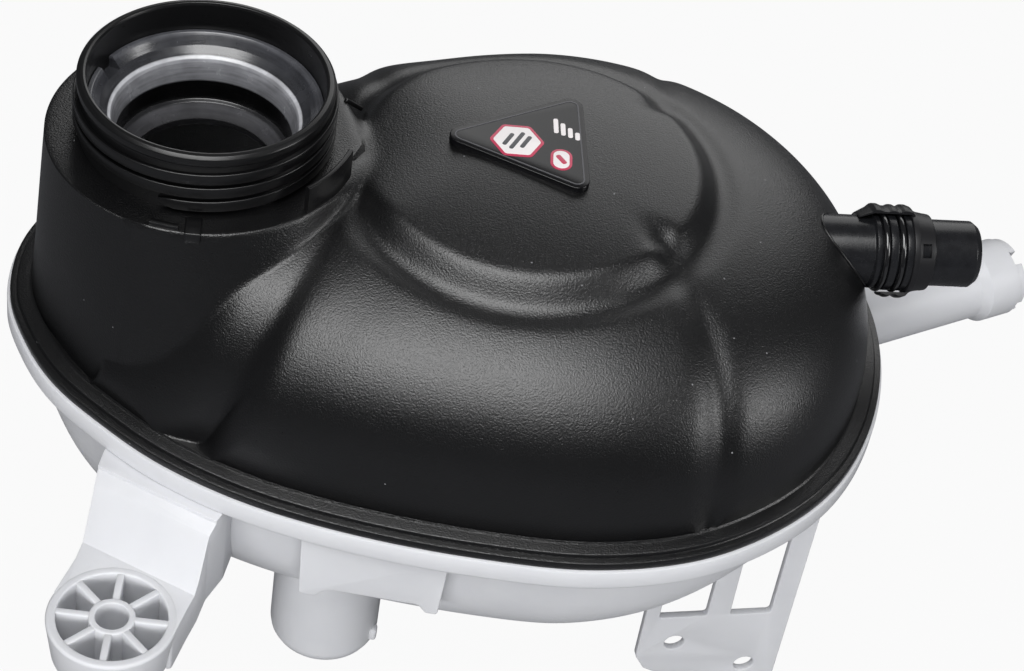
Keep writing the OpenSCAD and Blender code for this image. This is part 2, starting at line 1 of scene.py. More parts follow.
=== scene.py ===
from math import cos, hypot, pi, radians, sin, tan

import bmesh
import bpy
import numpy as np
from mathutils import Matrix, Vector


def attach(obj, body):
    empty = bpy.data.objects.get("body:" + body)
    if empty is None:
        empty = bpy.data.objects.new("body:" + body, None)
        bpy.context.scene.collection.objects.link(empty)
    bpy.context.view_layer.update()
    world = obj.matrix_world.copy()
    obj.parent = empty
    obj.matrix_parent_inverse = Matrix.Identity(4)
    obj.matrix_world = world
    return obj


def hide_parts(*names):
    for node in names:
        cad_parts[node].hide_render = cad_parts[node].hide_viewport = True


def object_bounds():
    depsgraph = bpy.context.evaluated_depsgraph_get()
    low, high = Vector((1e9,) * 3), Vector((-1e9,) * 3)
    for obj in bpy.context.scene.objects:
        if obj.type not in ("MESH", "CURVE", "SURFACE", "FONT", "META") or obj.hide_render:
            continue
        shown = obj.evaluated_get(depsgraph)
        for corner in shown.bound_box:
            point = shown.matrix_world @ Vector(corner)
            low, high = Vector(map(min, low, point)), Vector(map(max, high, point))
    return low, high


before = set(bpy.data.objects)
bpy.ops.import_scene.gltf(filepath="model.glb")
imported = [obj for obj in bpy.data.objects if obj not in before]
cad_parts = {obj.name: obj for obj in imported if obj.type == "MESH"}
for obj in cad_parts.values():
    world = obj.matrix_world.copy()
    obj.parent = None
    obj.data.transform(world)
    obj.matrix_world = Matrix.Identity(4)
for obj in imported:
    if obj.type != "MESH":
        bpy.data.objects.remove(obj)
cad_low, cad_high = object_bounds()

# Camera: 88.7 mm lens at the photograph's place, solved from the round mouth of the neck.
# It looks 43 degrees down and leans 10 degrees.
MM = 0.001
photo_width_px = 1024
focal_px = 2524
look_down = radians(43.15)
lean = radians(9.92)
eye = Vector((82.4, -473.5, 376.9)) * MM

forward = Vector((0, cos(look_down), -sin(look_down)))
level_up = Vector((0, sin(look_down), cos(look_down)))
right = cos(lean) * Vector((1, 0, 0)) + sin(lean) * level_up
up = -sin(lean) * Vector((1, 0, 0)) + cos(lean) * level_up


def placed(name, data):
    """A new object at the origin, linked into the scene."""
    thing = bpy.data.objects.new(name, data)
    bpy.context.scene.collection.objects.link(thing)
    return thing


lens = bpy.data.cameras.new("camera")
lens.sensor_width = 36
lens.lens = focal_px / photo_width_px * lens.sensor_width
camera = placed("camera", lens)
camera.matrix_world = Matrix.Translation(eye) @ Matrix((right, up, -forward)).transposed().to_4x4()
bpy.context.scene.camera = camera
bpy.context.scene.view_settings.view_transform = "Standard"


# Floor: a matt white paper sweep that the part stands over, so pale that it runs into the white
# background, but keeps a weak soft shadow.
def linear(code):
    """A hex colour such as b0b1b5 as linear red, green, blue and alpha."""
    parts = [int(code[i:i + 2], 16) / 255 for i in (0, 2, 4)]
    return [p / 12.92 if p <= 0.04045 else ((p + 0.055) / 1.055) ** 2.4 for p in parts] + [1.0]


def add(tree, kind, inputs={}, **settings):
    """Adds a node, sets its properties and its inputs; a socket given as an input is linked."""
    node = tree.nodes.new(kind)
    for key, value in settings.items():
        setattr(node, key, value)
    for key, value in inputs.items():
        if isinstance(value, bpy.types.NodeSocket):
            tree.links.new(value, node.inputs[key])
        else:
            node.inputs[key].default_value = value
    return node


def new_material(name):
    material = bpy.data.materials.new(name)
    material.use_nodes = True
    material.node_tree.nodes.clear()
    return material, material.node_tree


def mesh_object(name, points, faces, material, smooth=35):
    """A mesh object at the origin from points in millimetres, its edges kept sharp over an angle."""
    mesh = bpy.data.meshes.new(name)
    mesh.from_pydata([tuple(p) for p in np.asarray(points, float) * MM], [], [tuple(f) for f in faces])
    mesh.validate()
    mesh.shade_smooth()
    mesh.set_sharp_from_angle(angle=radians(smooth))
    mesh.materials.append(material)
    return placed(name, mesh)


floor_low = cad_low.z / MM
floor_half = 2500
paper, tree = new_material("white_paper")
geometry = add(tree, "ShaderNodeNewGeometry")
mottle = add(tree, "ShaderNodeTexNoise", {
    "Vector": geometry.outputs["Position"], "Scale": 6.0, "Detail": 3.0})
tint = add(tree, "ShaderNodeMix", {0: mottle.outputs["Fac"], 6: linear("68696c"), 7: linear("6e6f72")},
           data_type="RGBA")
paper_bsdf = add(tree, "ShaderNodeBsdfDiffuse", {"Color": tint.outputs[2]})
paper_glow = add(tree, "ShaderNodeEmission", {"Color": linear("ffffff"), "Strength": 1.0})
rays = add(tree, "ShaderNodeLightPath")
seen_share = add(tree, "ShaderNodeMath", {0: rays.outputs["Is Camera Ray"], 1: 0.95}, operation="MULTIPLY")
paper_mix = add(tree, "ShaderNodeMixShader", {
    0: seen_share.outputs[0], 1: paper_bsdf.outputs[0], 2: paper_glow.outputs[0]})
add(tree, "ShaderNodeOutputMaterial", {"Surface": paper_mix.outputs[0]})
floor_corners = [(x * floor_half, y * floor_half, floor_low) for x, y in ((-1, -1), (1, -1), (1, 1), (-1, 1))]
floor = mesh_object("floor", floor_corners, [(0, 1, 2, 3)], paper)

# Light: a plain white room with one broad soft box above the front, a low wide fill in front that
# doesn't mirror in the part, and weaker boxes beyond the vent end and behind the part.
room = bpy.data.worlds.new("room")
room.use_nodes = True
room.node_tree.nodes.clear()
tree = room.node_tree
rays = add(tree, "ShaderNodeLightPath")
room_seen = add(tree, "ShaderNodeMath", {
    0: rays.outputs["Is Camera Ray"], 1: rays.outputs["Is Transmission Ray"]}, operation="MAXIMUM")
room_light = add(tree, "ShaderNodeBackground", {"Color": linear("e4e6ea"), "Strength": 0.09})
room_white = add(tree, "ShaderNodeBackground", {"Color": linear("ffffff"), "Strength": 1.0})
room_mix = add(tree, "ShaderNodeMixShader", {
    0: room_seen.outputs[0], 1: room_light.outputs[0], 2: room_white.outputs[0]})
add(tree, "ShaderNodeOutputWorld", {"Surface": room_mix.outputs[0]})
bpy.context.scene.world = room


def soft_box(name, at, aim, size, watts, mirrored=True):
    """A rectangular lamp at a place in millimetres, turned towards a point of the part."""
    lamp = bpy.data.lights.new(name, "AREA")
    lamp.shape = "RECTANGLE"
    lamp.size, lamp.size_y = size[0] * MM, size[1] * MM
    lamp.energy = watts
    box = placed(name, lamp)
    box.location = Vector(at) * MM
    box.rotation_mode = "QUATERNION"
    box.rotation_quaternion = (Vector(aim) - Vector(at)).to_track_quat("-Z", "Y")
    box.visible_glossy = mirrored


soft_box("key_soft_box", (-10, -430, 970), (60, -20, -50), (850, 740), 9.4)
soft_box("front_fill", (-40, -1100, 200), (60, -40, -90), (1300, 300), 10.2, mirrored=False)
soft_box("vent_end_soft_box", (1000, -160, 300), (120, 0, -50), (300, 420), 2.0)
soft_box("rear_soft_box", (260, 1150, 500), (80, 0, -40), (1200, 960), 4.4)

# Upper shell: one moulding of black glass-filled polypropylene, fine spark-eroded grain on the
# outside. It has the tower, the domed top with its round disc and folds, and the flange that is
# hot-plate welded to the lower shell.
wall = 2.8
weld_z = -70
flange_z = weld_z + 3.5
flange_w = 5
crown_z = -17
ledge_z = -17
ledge_r = 38.5
front_edge = [(-46.8, 2), (-44.6, -15.1), (-37.6, -28.9), (-27.6, -41.5), (-14.4, -51.7),
              (4.5, -62.7), (28, -70.6), (55, -74.4), (84, -74.9), (111.3, -72.2),
              (135.8, -63.4), (155, -48.8), (168.5, -31), (176.3, -9.5), (178.7, 13)]
rear_edge = [(-46.8, 2), (-43.6, 17.5), (-36.5, 30.5), (-26.5, 40.5), (-13, 49.5),
             (6, 60.5), (28, 73), (55, 86), (84, 94.5), (111.3, 93.3),
             (135.8, 85.4), (155, 70.8), (168.5, 53), (176.3, 33), (178.7, 13)]
spine_end = np.array([82.0, 11.0])
dome_mid = np.array([79.5, 11.0])
columns = 672


def ease(v):
    t = np.clip(v, 0, 1)
    return t * t * (3 - 2 * t)


def bell(v):
    return np.exp(-v * v)


def soft_max(a, b, k):
    h = np.clip(0.5 + 0.5 * (a - b) / k, 0, 1)
    return b * (1 - h) + a * h + k * h * (1 - h)


def smooth_loop(knots, p):
    """Smooth closed curve through the knots, p counted in knots."""
    knots = np.asarray(knots, float)
    i = np.floor(p).astype(int)
    t = (p - i)[:, None] if knots.ndim > 1 else p - i
    a, b, c, d = (knots[(i + s) % len(knots)] for s in (-1, 0, 1, 2))
    square, cube = 2 * a - 5 * b + 4 * c - d, 3 * b - 3 * c + d - a
    return 0.5 * (2 * b + (c - a) * t + square * t ** 2 + cube * t ** 3)


def smooth_columns(values):
    """Evens a value out between neighbouring columns, so that the skin has no kinks."""
    for _ in range(6):
        values = (np.roll(values, 1, 0) + 2 * values + np.roll(values, -1, 0)) / 4
    return values


edge_knots = front_edge + rear_edge[-2:0:-1]
place = np.arange(columns) * len(edge_knots) / columns
edge = smooth_loop(edge_knots, place)
edge_run = np.roll(edge, -1, 0) - np.roll(edge, 1, 0)
edge_run /= np.linalg.norm(edge_run, axis=1)[:, None]
edge_in = np.stack([-edge_run[:, 1], edge_run[:, 0]], 1)
half_knots = len(front_edge) - 1
share = np.minimum(place, len(edge_knots) - place) / half_knots
spine_lo, spine_hi = 4 / half_knots, 7.5 / half_knots
spine_share = np.clip((share - spine_lo) / (spine_hi - spine_lo), 0, 1)
spine = spine_share[:, None] * spine_end


def inset(w):
    return edge + w * edge_in


foot_radii = np.array([70, 73, 84, 98, 90.2, 83.7, 81.3, 82.9, 86.5, 90.2, 93, 94.1,
                       94.4, 94.4, 92.9, 90.2, 86.2, 82, 78, 74.6, 73.8, 77, 78, 72])


def fold_in(r, a):
    """How far the two folds press the dome in, at a radius and a bearing in degrees."""
    front = r * np.sin(np.radians(a + 32.5 + 0.36 * (r - 41)))
    rear = r * np.sin(np.radians(a - 47 - 0.7 * (r - 44)))
    return 2.2 * ease((r - 38) / 8) * (bell(front / 4) + 0.8 * bell(rear / 4) * (abs(a - 60) < 45))


def flank_drop(x, y):
    """How far the dome's left flank drops towards the valley beside the tower."""
    left = ((y + 15) * 0.27 - (x - 38)) / hypot(1, 0.27)
    slope = 0.42 * ease((-14 - y) / 8) + np.minimum(1.1 * (np.maximum(-36 - y, 0) / 20) ** 2, 1.2)
    return slope * (left + np.sqrt(left ** 2 + 2 ** 2)) / 2


def dome_z(x, y):
    dx, dy = x - dome_mid[0], y - dome_mid[1]
    r, a = np.hypot(dx, dy), np.degrees(np.arctan2(dy, dx))
    foot = smooth_loop(foot_radii, ((a + 180) / 15).ravel()).reshape(a.shape)
    u = (r + np.where(r > 30, fold_in(r, a), 0)) / foot
    base = np.where(u < 1, np.clip(1 - np.minimum(u, 1) ** 2.5, 0, 1) ** 0.4, -(u - 1) * 4)
    z = flange_z + (crown_z - flange_z) * base + 3.2 * ease((48 - r) / 7) - 0.9 * bell((r - 49.5) / 3)
    z = z - 2 * bell(np.hypot(x - 114.5, y + 11) / 4) - 1.6 * bell(np.hypot(x - 109, y - 43) / 4)
    return z - flank_drop(x, y)


def strip_z(x, y):
    """The strip that carries the dome's front slope on to the tower, between crease and valley."""
    u = np.clip((-y - 10) / 46.5, 0, 1)
    z = flange_z + (-21 - flange_z) * (1 - u ** 2.3) ** (1 / 2.3)
    z = z - 0.9 * soft_max(15 - x, 0 * x, 5) - 0.8 * soft_max(x - 46, 0 * x, 4)
    return z - 0.4 * soft_max(y + 10, 0 * x, 2)


def tower_z(x, y):
    """The tower's flat ledge and steep wall, with the strip in front of it."""
    r = np.hypot(x, y)
    a = np.degrees(np.arctan2(y, x))
    c = np.where(r > 0, x / np.maximum(r, 1e-9), -1)
    foot = 41.6 + 16.5 * np.clip(c + 0.75, 0, 1) ** 1.5 - 9 * ease((c - 0.3) / 0.5) * (y > 0)
    fall = (ledge_z - flange_z) / (foot - ledge_r)
    cone = -soft_max(-ledge_z + 0 * r, -ledge_z + fall * (r - ledge_r), 1.2)
    return np.where((a < 0) & (a > -110) & (r > ledge_r - 0.5), soft_max(cone, strip_z(x, y), 1.5), cone)


def top_z(x, y):
    return np.maximum(flange_z, soft_max(tower_z(x, y), dome_z(x, y), 2.5))


disc_edge_r = 44.5


def ring_shares():
    """Share of each skin ring on each column's way from the spine to the foot of the wall.

    The middle rings follow the edge of the ledge and of the round disc."""
    way = inset(flange_w) - spine
    reach = np.linalg.norm(way, axis=1)
    way = way / reach[:, None]

    def leaves(middle, r):
        from_mid = spine - middle
        along = (from_mid * way).sum(1)
        inside = along ** 2 - (from_mid ** 2).sum(1) + r * r
        return np.where(inside > 0, -along + np.sqrt(np.maximum(inside, 0)), 0)

    edge_at = np.maximum(np.maximum(leaves(np.zeros(2), ledge_r + 0.3), leaves(dome_mid, disc_edge_r)), 0.5)
    edge_at = smooth_columns(edge_at)
    nearer = np.array([-0.99, -0.75, -0.5, -0.3, -0.2, -0.14, -0.1, -0.075, -0.055, -0.04, -0.03, -0.022,
                       -0.015, -0.008, 0]) + 1
    nearer[0] = 0
    near = nearer[:, None] * edge_at
    beyond = edge_at + np.array([0.3, 0.6, 0.9, 1.3, 1.8, 2.4, 3.1, 3.9, 4.8, 5.8, 6.9, 8])[:, None] \
        * np.minimum(1, (reach - edge_at) / 12)
    steps = np.sin(np.linspace(0, 0.5 * pi, 66))[1:-1]
    steps = 0.45 * steps + 0.55 * np.linspace(0, 1, 66)[1:-1]
    last = beyond[-1] + (reach - beyond[-1]) * steps[:, None]
    return np.vstack([near, beyond, last]) / reach


def skin_faces(rings, n, closed=False):
    """Quads between neighbouring rings of n points; closed also joins the last ring to the first."""
    faces = []
    for a in range(rings - 1 + closed):
        b = (a + 1) % rings
        for k in range(n):
            m = (k + 1) % n
            faces.append((a * n + k, b * n + k, b * n + m, a * n + m))
    return faces


def welded(thing, distance=0.002):
    """Joins points that lie together and points all faces outwards."""
    shape = bmesh.new()
    shape.from_mesh(thing.data)
    bmesh.ops.remove_doubles(shape, verts=shape.verts, dist=distance * MM)
    bmesh.ops.dissolve_degenerate(shape, edges=shape.edges, dist=distance * MM)
    bmesh.ops.recalc_face_normals(shape, faces=shape.faces)
    shape.to_mesh(thing.data)
    shape.free()
    return thing


def outer_rings():
    rings = []
    for s in ring_shares():
        q = spine + s[:, None] * (inset(flange_w) - spine)
        z = top_z(q[:, 0], q[:, 1])
        if rings:
            z = smooth_columns(z)
        foot_roll = np.maximum(1 - s ** 40, 0) ** 0.2
        rings.append(np.column_stack([q, flange_z + (z - flange_z) * foot_roll]))
    return rings


def flat_ring(w, z):
    return np.column_stack([inset(w), np.full(columns, z)])


flange_rings = [flat_ring(w, flange_z + z) for w, z in (
    (flange_w + 0.5, 0.6), (flange_w + 0.1, 0.15), (flange_w - 0.4, 0), (2.3, 0), (2.0, -0.15), (1.85, -0.4),
    (1.8, -0.9), (1.6, -1.15), (1.3, -1.2), (0.5, -1.2), (0.15, -1.35), (0, -1.7))]
flange_rings += [flat_ring(w, z) for w, z in ((0, weld_z + 0.2), (0.2, weld_z), (flange_w + wall, weld_z))]
sink = (crown_z - wall - weld_z) / (crown_z - flange_z)
shrink = np.maximum(1 - wall / np.linalg.norm(inset(flange_w) - spine, axis=1), 0)[:, None]
outside = outer_rings()
inner_rings = [np.column_stack([spine + (r[:, :2] - spine) * shrink, weld_z + (r[:, 2] - flange_z) * sink])
               for r in outside[::-3]]
skin = outside + flange_rings + inner_rings
black_pp, tree = new_material("grained_black_polypropylene")
place_mm = add(tree, "ShaderNodeTexCoord").outputs["Object"]
# Grain cells of about 0.45 mm; a slower mottle of 9 mm is the flow of the melt
grain = add(tree, "ShaderNodeTexNoise", {
    "Vector": place_mm, "Scale": 1 / (0.45 * MM), "Detail": 2.0, "Roughness": 0.6})
flow = add(tree, "ShaderNodeTexNoise", {"Vector": place_mm, "Scale": 1 / (9 * MM), "Detail": 3.0})
relief = add(tree, "ShaderNodeBump", {"Height": grain.outputs["Fac"], "Strength": 1.0, "Distance": 0.12 * MM})
shade = add(tree, "ShaderNodeMix", {0: flow.outputs["Fac"], 6: linear("050506"), 7: linear("09090a")},
            data_type="RGBA")
rough = add(tree, "ShaderNodeMapRange", {"Value": grain.outputs["Fac"], "To Min": 0.24, "To Max": 0.38})
# Painted glints: sparse grey specks of about 0.4 mm that sit on the grain
glint_cells = add(tree, "ShaderNodeTexVoronoi", {"Vector": place_mm, "Scale": 1 / (4.2 * MM)})
glint_on = add(tree, "ShaderNodeMath", {0: glint_cells.outputs["Distance"], 1: 0.055}, operation="LESS_THAN")
glint_pick = add(tree, "ShaderNodeSeparateColor", {"Color": glint_cells.outputs["Color"]})
glint_few = add(tree, "ShaderNodeMath", {0: glint_pick.outputs["Red"], 1: 0.12}, operation="LESS_THAN")
glint_seen = add(tree, "ShaderNodeMath", {
    0: glint_on.outputs[0], 1: glint_few.outputs[0]}, operation="MULTIPLY")
painted_glints = add(tree, "ShaderNodeMix", {0: glint_seen.outputs[0], 6: shade.outputs[2], 7: linear("77787a")},
               data_type="RGBA")
surface = add(tree, "ShaderNodeBsdfPrincipled", {
    "Base Color": painted_glints.outputs[2], "Roughness": rough.outputs[0], "IOR": 1.75, "Normal": relief.outputs[0]})
add(tree, "ShaderNodeOutputMaterial", {"Surface": surface.outputs[0]})

skin_quads = skin_faces(len(skin), columns)
upper_shell = welded(mesh_object("upper_shell", np.vstack(skin), skin_quads, black_pp, 30))


def plain_mesh(thing):
    """What an object's curve or modifiers make, as a smooth plain mesh."""
    made = bpy.data.meshes.new_from_object(thing.evaluated_get(bpy.context.evaluated_depsgraph_get()))
    made.shade_smooth()
    return made


def keep_result(thing):
    """Turns what the modifiers make into the piece's own plain mesh."""
    made = plain_mesh(thing)
    thing.modifiers.clear()
    thing.data = made
    made.set_sharp_from_angle(angle=radians(30))


def take_out(thing, shape):
    """Takes a closed bmesh shape out of a piece."""
    mesh = bpy.data.meshes.new("cut")
    shape.to_mesh(mesh)
    shape.free()
    cutter = placed("cut", mesh)
    cut = thing.modifiers.new("cut", "BOOLEAN")
    cut.operation, cut.solver, cut.object = "DIFFERENCE", "EXACT", cutter
    keep_result(thing)
    bpy.data.objects.remove(cutter)


def turned_to(place, bearing=0, tilt=0, axis="Y"):
    """A placing in millimetres, turned by a bearing and then tipped over, both in degrees."""
    return (Matrix.Translation(Vector(place) * MM) @ Matrix.Rotation(radians(bearing), 4, "Z")
            @ Matrix.Rotation(radians(tilt), 4, axis))


def cut_bore(thing, radius, low, high, turn=Matrix.Identity(4)):
    """Takes a round bore out of a piece; turn brings its own Z axis to the bore's."""
    bore = bmesh.new()
    bmesh.ops.create_cone(bore, cap_ends=True, segments=160, radius1=radius * MM, radius2=radius * MM,
                          depth=(high - low) * MM, matrix=turn @ turned_to((0, 0, (low + high) / 2)))
    take_out(thing, bore)


at_vent = turned_to((159.4, 25.4, -41), 11.2, 90)
neck_in_r, neck_out_r = 28.6, 31
cut_bore(upper_shell, neck_in_r + 0.4, -60, 10)
cut_bore(upper_shell, 8.7, -30, 30, at_vent)
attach(upper_shell, "tank")
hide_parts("upper_shell")


# Neck: part of the same moulding, turned smooth in the tool, so it is glossier than the grained
# dome. Two and a half turns of a blunt thread run round it for the cap.
def filleted(points, per_corner=5):
    """An outline from corners x, y, r, each rounded by its own radius r."""
    made = []
    n = len(points)
    for i, (x, y, r) in enumerate(points):
        p = Vector((x, y))
        to_a = Vector(points[i - 1][:2]) - p
        to_b = Vector(points[(i + 1) % n][:2]) - p
        if r <= 0:
            made.append((x, y))
            continue
        half = to_a.angle(to_b) / 2
        back = min(r / tan(half), to_a.length * 0.49, to_b.length * 0.49)
        r = back * tan(half)
        middle = p + (to_a.normalized() + to_b.normalized()).normalized() * (r / sin(half))
        start = p + to_a.normalized() * back - middle
        end = p + to_b.normalized() * back - middle
        sweep = start.angle_signed(end)
        for s in range(per_corner + 1):
            spot = middle + Matrix.Rotation(-sweep * s / per_corner, 2) @ start
            made.append((spot.x, spot.y))
    return made


def round_spot(r, a, z, turn):
    """The point at a radius, an angle and a height of a turned piece."""
    return turn @ (Vector((r * cos(a), r * sin(a), z)) * MM) / MM


def lathe(name, profile, material, turn=Matrix.Identity(4), segments=192, smooth=30):
    """A turned piece from a closed profile of radius, height and corner radius."""
    outline = filleted(profile)
    points = [round_spot(r, 2 * pi * k / segments, z, turn) for r, z in outline for k in range(segments)]
    faces = skin_faces(len(outline), segments, closed=True)
    return welded(mesh_object(name, points, faces, material, smooth))


def moulded(name, tones, grain_mm, detail, strength, depth_mm, rough, sockets, run=(1, 1, 1), flow_mm=None):
    """A moulded skin: a fine pattern sets its relief and gloss, and it or a slower flow its tones."""
    made, tree = new_material(name)
    place_mm = add(tree, "ShaderNodeTexCoord").outputs["Object"]
    drawn = add(tree, "ShaderNodeMapping", {"Vector": place_mm, "Scale": run})
    grain = add(tree, "ShaderNodeTexNoise", {
        "Vector": drawn.outputs[0], "Scale": 1 / (grain_mm * MM), "Detail": detail}).outputs["Fac"]
    flow = grain
    if flow_mm:
        flow = add(tree, "ShaderNodeTexNoise", {
            "Vector": place_mm, "Scale": 1 / (flow_mm * MM), "Detail": 3.0}).outputs["Fac"]
    relief = add(tree, "ShaderNodeBump", {"Height": grain, "Strength": strength, "Distance": depth_mm * MM})
    shade = add(tree, "ShaderNodeMix", {0: flow, 6: linear(tones[0]), 7: linear(tones[-1])}, data_type="RGBA")
    gloss = add(tree, "ShaderNodeMapRange", {"Value": grain, "To Min": rough[0], "To Max": rough[-1]})
    surface = add(tree, "ShaderNodeBsdfPrincipled", {
        "Base Color": shade.outputs[2], "Roughness": gloss.outputs[0], "Normal": relief.outputs[0], **sockets})
    add(tree, "ShaderNodeOutputMaterial", {"Surface": surface.outputs[0]})
    return made


# Faint turning marks run round the neck, about 0.5 mm apart
smooth_black = moulded("smooth_black_polypropylene", ["0c0c0d"], 0.5, 3.0, 0.2, 0.03, (0.24, 0.36),
                       {"IOR": 1.62}, run=(0.15, 0.15, 1))
neck_foot_z = -34
sleeve_seat_z = -30
seat_in_r = neck_in_r - 3.2
groove_out_r = neck_out_r - 0.6
neck = lathe("filler_neck", [
    (seat_in_r, neck_foot_z, 0), (groove_out_r, neck_foot_z, 0), (groove_out_r, -3.2, 0.5),
    (neck_out_r, -2.6, 0.4), (neck_out_r, -0.9, 0.6), (neck_out_r - 0.8, -0.15, 0.5),
    (neck_in_r + 0.75, 0, 0.1), (neck_in_r + 0.25, -0.15, 0.25), (neck_in_r, -0.8, 0.3),
    (neck_in_r, sleeve_seat_z, 0), (seat_in_r, sleeve_seat_z, 0)], smooth_black)


def nodes_tree(name, **sockets):
    """A new Geometry Nodes tree with named number inputs, its Group Input and Group Output."""
    made = bpy.data.node_groups.new(name, "GeometryNodeTree")
    for key, value in sockets.items():
        kind = "NodeSocketInt" if isinstance(value, int) else "NodeSocketFloat"
        made.interface.new_socket(key, in_out="INPUT", socket_type=kind).default_value = value
    made.interface.new_socket("geometry", in_out="OUTPUT", socket_type="NodeSocketGeometry")
    return made, add(made, "NodeGroupInput"), add(made, "NodeGroupOutput")


def run_nodes(name, made):
    """Runs a Geometry Nodes tree on an empty mesh and keeps its result as a plain mesh."""
    thing = placed(name, bpy.data.meshes.new(name))
    step = thing.modifiers.new(name, "NODES")
    step.node_group = made
    keep_result(thing)
    thing.data.name = name
    return thing


thread_turns, thread_pitch = 2.5, 4.1
thread_r = 32.8
thread_foot_z, thread_foot_angle = -14.3, 261
thread_rise = thread_turns * thread_pitch
tree, given, result = nodes_tree(
    "thread_sweep", turns=thread_turns, radius=neck_out_r * MM, rise=thread_rise * MM, steps=96, fade=0.006)
path = add(tree, "GeometryNodeCurveSpiral", {
    "Resolution": given.outputs["steps"], "Rotations": given.outputs["turns"],
    "Start Radius": given.outputs["radius"], "End Radius": given.outputs["radius"],
    "Height": given.outputs["rise"], "Reverse": True})
along = add(tree, "GeometryNodeSplineParameter")
left = add(tree, "ShaderNodeMath", {0: 1.0, 1: along.outputs["Factor"]}, operation="SUBTRACT")
ends = add(tree, "ShaderNodeMath", {0: along.outputs["Factor"], 1: left.outputs[0]}, operation="MINIMUM")
run_out = add(tree, "ShaderNodeMath", {0: ends.outputs[0], 1: given.outputs["fade"]}, operation="DIVIDE",
              use_clamp=True)
grown = add(tree, "ShaderNodeMapRange", {"Value": run_out.outputs[0], "To Min": 0.3, "To Max": 1.0})
level = add(tree, "GeometryNodeSetCurveNormal", {"Curve": path.outputs[0]}, mode="Z_UP")
crest = thread_r - neck_out_r
section = add(tree, "GeometryNodeCurvePrimitiveQuadrilateral", {
    "Point 1": (0.8 * MM, -1.2 * MM, 0), "Point 2": (-crest * MM, -0.5 * MM, 0),
    "Point 3": (-crest * MM, 0.3 * MM, 0), "Point 4": (0.8 * MM, 2.1 * MM, 0)}, mode="POINTS")
soft_section = add(tree, "GeometryNodeFilletCurve", {
    "Curve": section.outputs[0], "Count": 4, "Radius": 0.3 * MM, "Limit Radius": True}, mode="POLY")
ridge = add(tree, "GeometryNodeCurveToMesh", {
    "Curve": level.outputs[0], "Profile Curve": soft_section.outputs[0], "Scale": grown.outputs[0],
    "Fill Caps": True})
set_down = add(tree, "GeometryNodeTransform", {
    "Geometry": ridge.outputs[0], "Translation": (0, 0, thread_foot_z * MM),
    "Rotation": (0, 0, radians(thread_foot_angle))})
real = add(tree, "GeometryNodeRealizeInstances", {"Geometry": set_down.outputs[0]})
dressed = add(tree, "GeometryNodeSetMaterial", {"Geometry": real.outputs[0], "Material": smooth_black})
tree.links.new(dressed.outputs[0], result.inputs[0])
thread = welded(run_nodes("neck_thread", tree))
for piece in (neck, thread):
    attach(piece, "tank")


# Ledge marks: the locating lug across the ledge's edge, the low step beside it, the thin stop
# wall round the right side of the neck and the short rib behind it, moulded in one with the tower.
def rounded_block(shape, size, turn, edge_r=0.35):
    """Adds a box of a size in millimetres with rounded edges to a bmesh, centred on turn."""
    made = bmesh.ops.create_cube(shape, size=1.0, matrix=turn @ Matrix.Diagonal((*(s * MM for s in size), 1)))
    sides = {e for v in made["verts"] for e in v.link_edges}
    bmesh.ops.bevel(shape, geom=list(sides), offset=edge_r * MM, segments=3, affect="EDGES", profile=0.5)


def from_bmesh(name, shape, material):
    """A piece from a bmesh, with its edges sharp over 40 degrees."""
    mesh = bpy.data.meshes.new(name)
    shape.to_mesh(mesh)
    shape.free()
    mesh.shade_smooth()
    mesh.set_sharp_from_angle(angle=radians(40))
    mesh.materials.append(material)
    return placed(name, mesh)


def round_axis(angle, r, z, turn=Matrix.Identity(4)):
    """A place round a turned piece's axis at an angle in degrees, with X pointing outwards."""
    return turn @ turned_to((0, 0, 0), angle) @ turned_to((r, 0, z))


def ledge_arc(shape, r_in, r_out, low, high, start, sweep, soft=0.3):
    """Adds a low curved wall with rounded top edges, from one bearing in degrees round by a sweep."""
    section = [(r_in, low), (r_out, low), (r_out, high - soft), (r_out - soft * 0.3, high - soft * 0.3),
               (r_out - soft, high), (r_in + soft, high), (r_in + soft * 0.3, high - soft * 0.3),
               (r_in, high - soft)]
    steps = max(4, int(sweep))
    spots = []
    for i in range(steps + 1):
        a = radians(start + sweep * i / steps)
        spots += [shape.verts.new(Vector((r * cos(a), r * sin(a), z)) * MM) for r, z in section]
    for face in skin_faces(steps + 1, len(section)):
        shape.faces.new([spots[i] for i in face])
    shape.faces.new(spots[:len(section)])
    shape.faces.new(spots[-len(section):])


moulded_on = bmesh.new()
rounded_block(moulded_on, (6.2, 4, 3.2), round_axis(-82.3, 36.1, ledge_z - 1.0))
ledge_arc(moulded_on, ledge_r - 2.4, ledge_r - 0.9, ledge_z - 2, ledge_z + 0.8, -98.2, 10.5)
ledge_arc(moulded_on, 36.7, 38, ledge_z - 2, -9.5, -38.5, 28)
rib_from, rib_to = Vector((31.4, 20.8, -16.9)), Vector((35.0, 26.8, -23.6))
rib_run = rib_to - rib_from
rounded_block(moulded_on, (rib_run.length, 1.0, 1.2),
              turned_to((rib_from + rib_to) / 2) @ rib_run.to_track_quat("X", "Z").to_matrix().to_4x4())
bmesh.ops.recalc_face_normals(moulded_on, faces=moulded_on.faces)
ledge_marks = from_bmesh("ledge_marks", moulded_on, smooth_black)
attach(ledge_marks, "tank")


# Sealing sleeve: a separate turned-looking ring of glossy glass-filled plastic pressed into the
# neck; its machined seat takes the cap's seal, and its rings carry bands of painted highlight and shade.
def cut_boxes(thing, boxes):
    """Takes boxes, each a size in millimetres and a placing, out of a piece."""
    shape = bmesh.new()
    for size, turn in boxes:
        bmesh.ops.create_cube(shape, size=1.0, matrix=turn @ Matrix.Diagonal((*(s * MM for s in size), 1)))
    take_out(thing, shape)


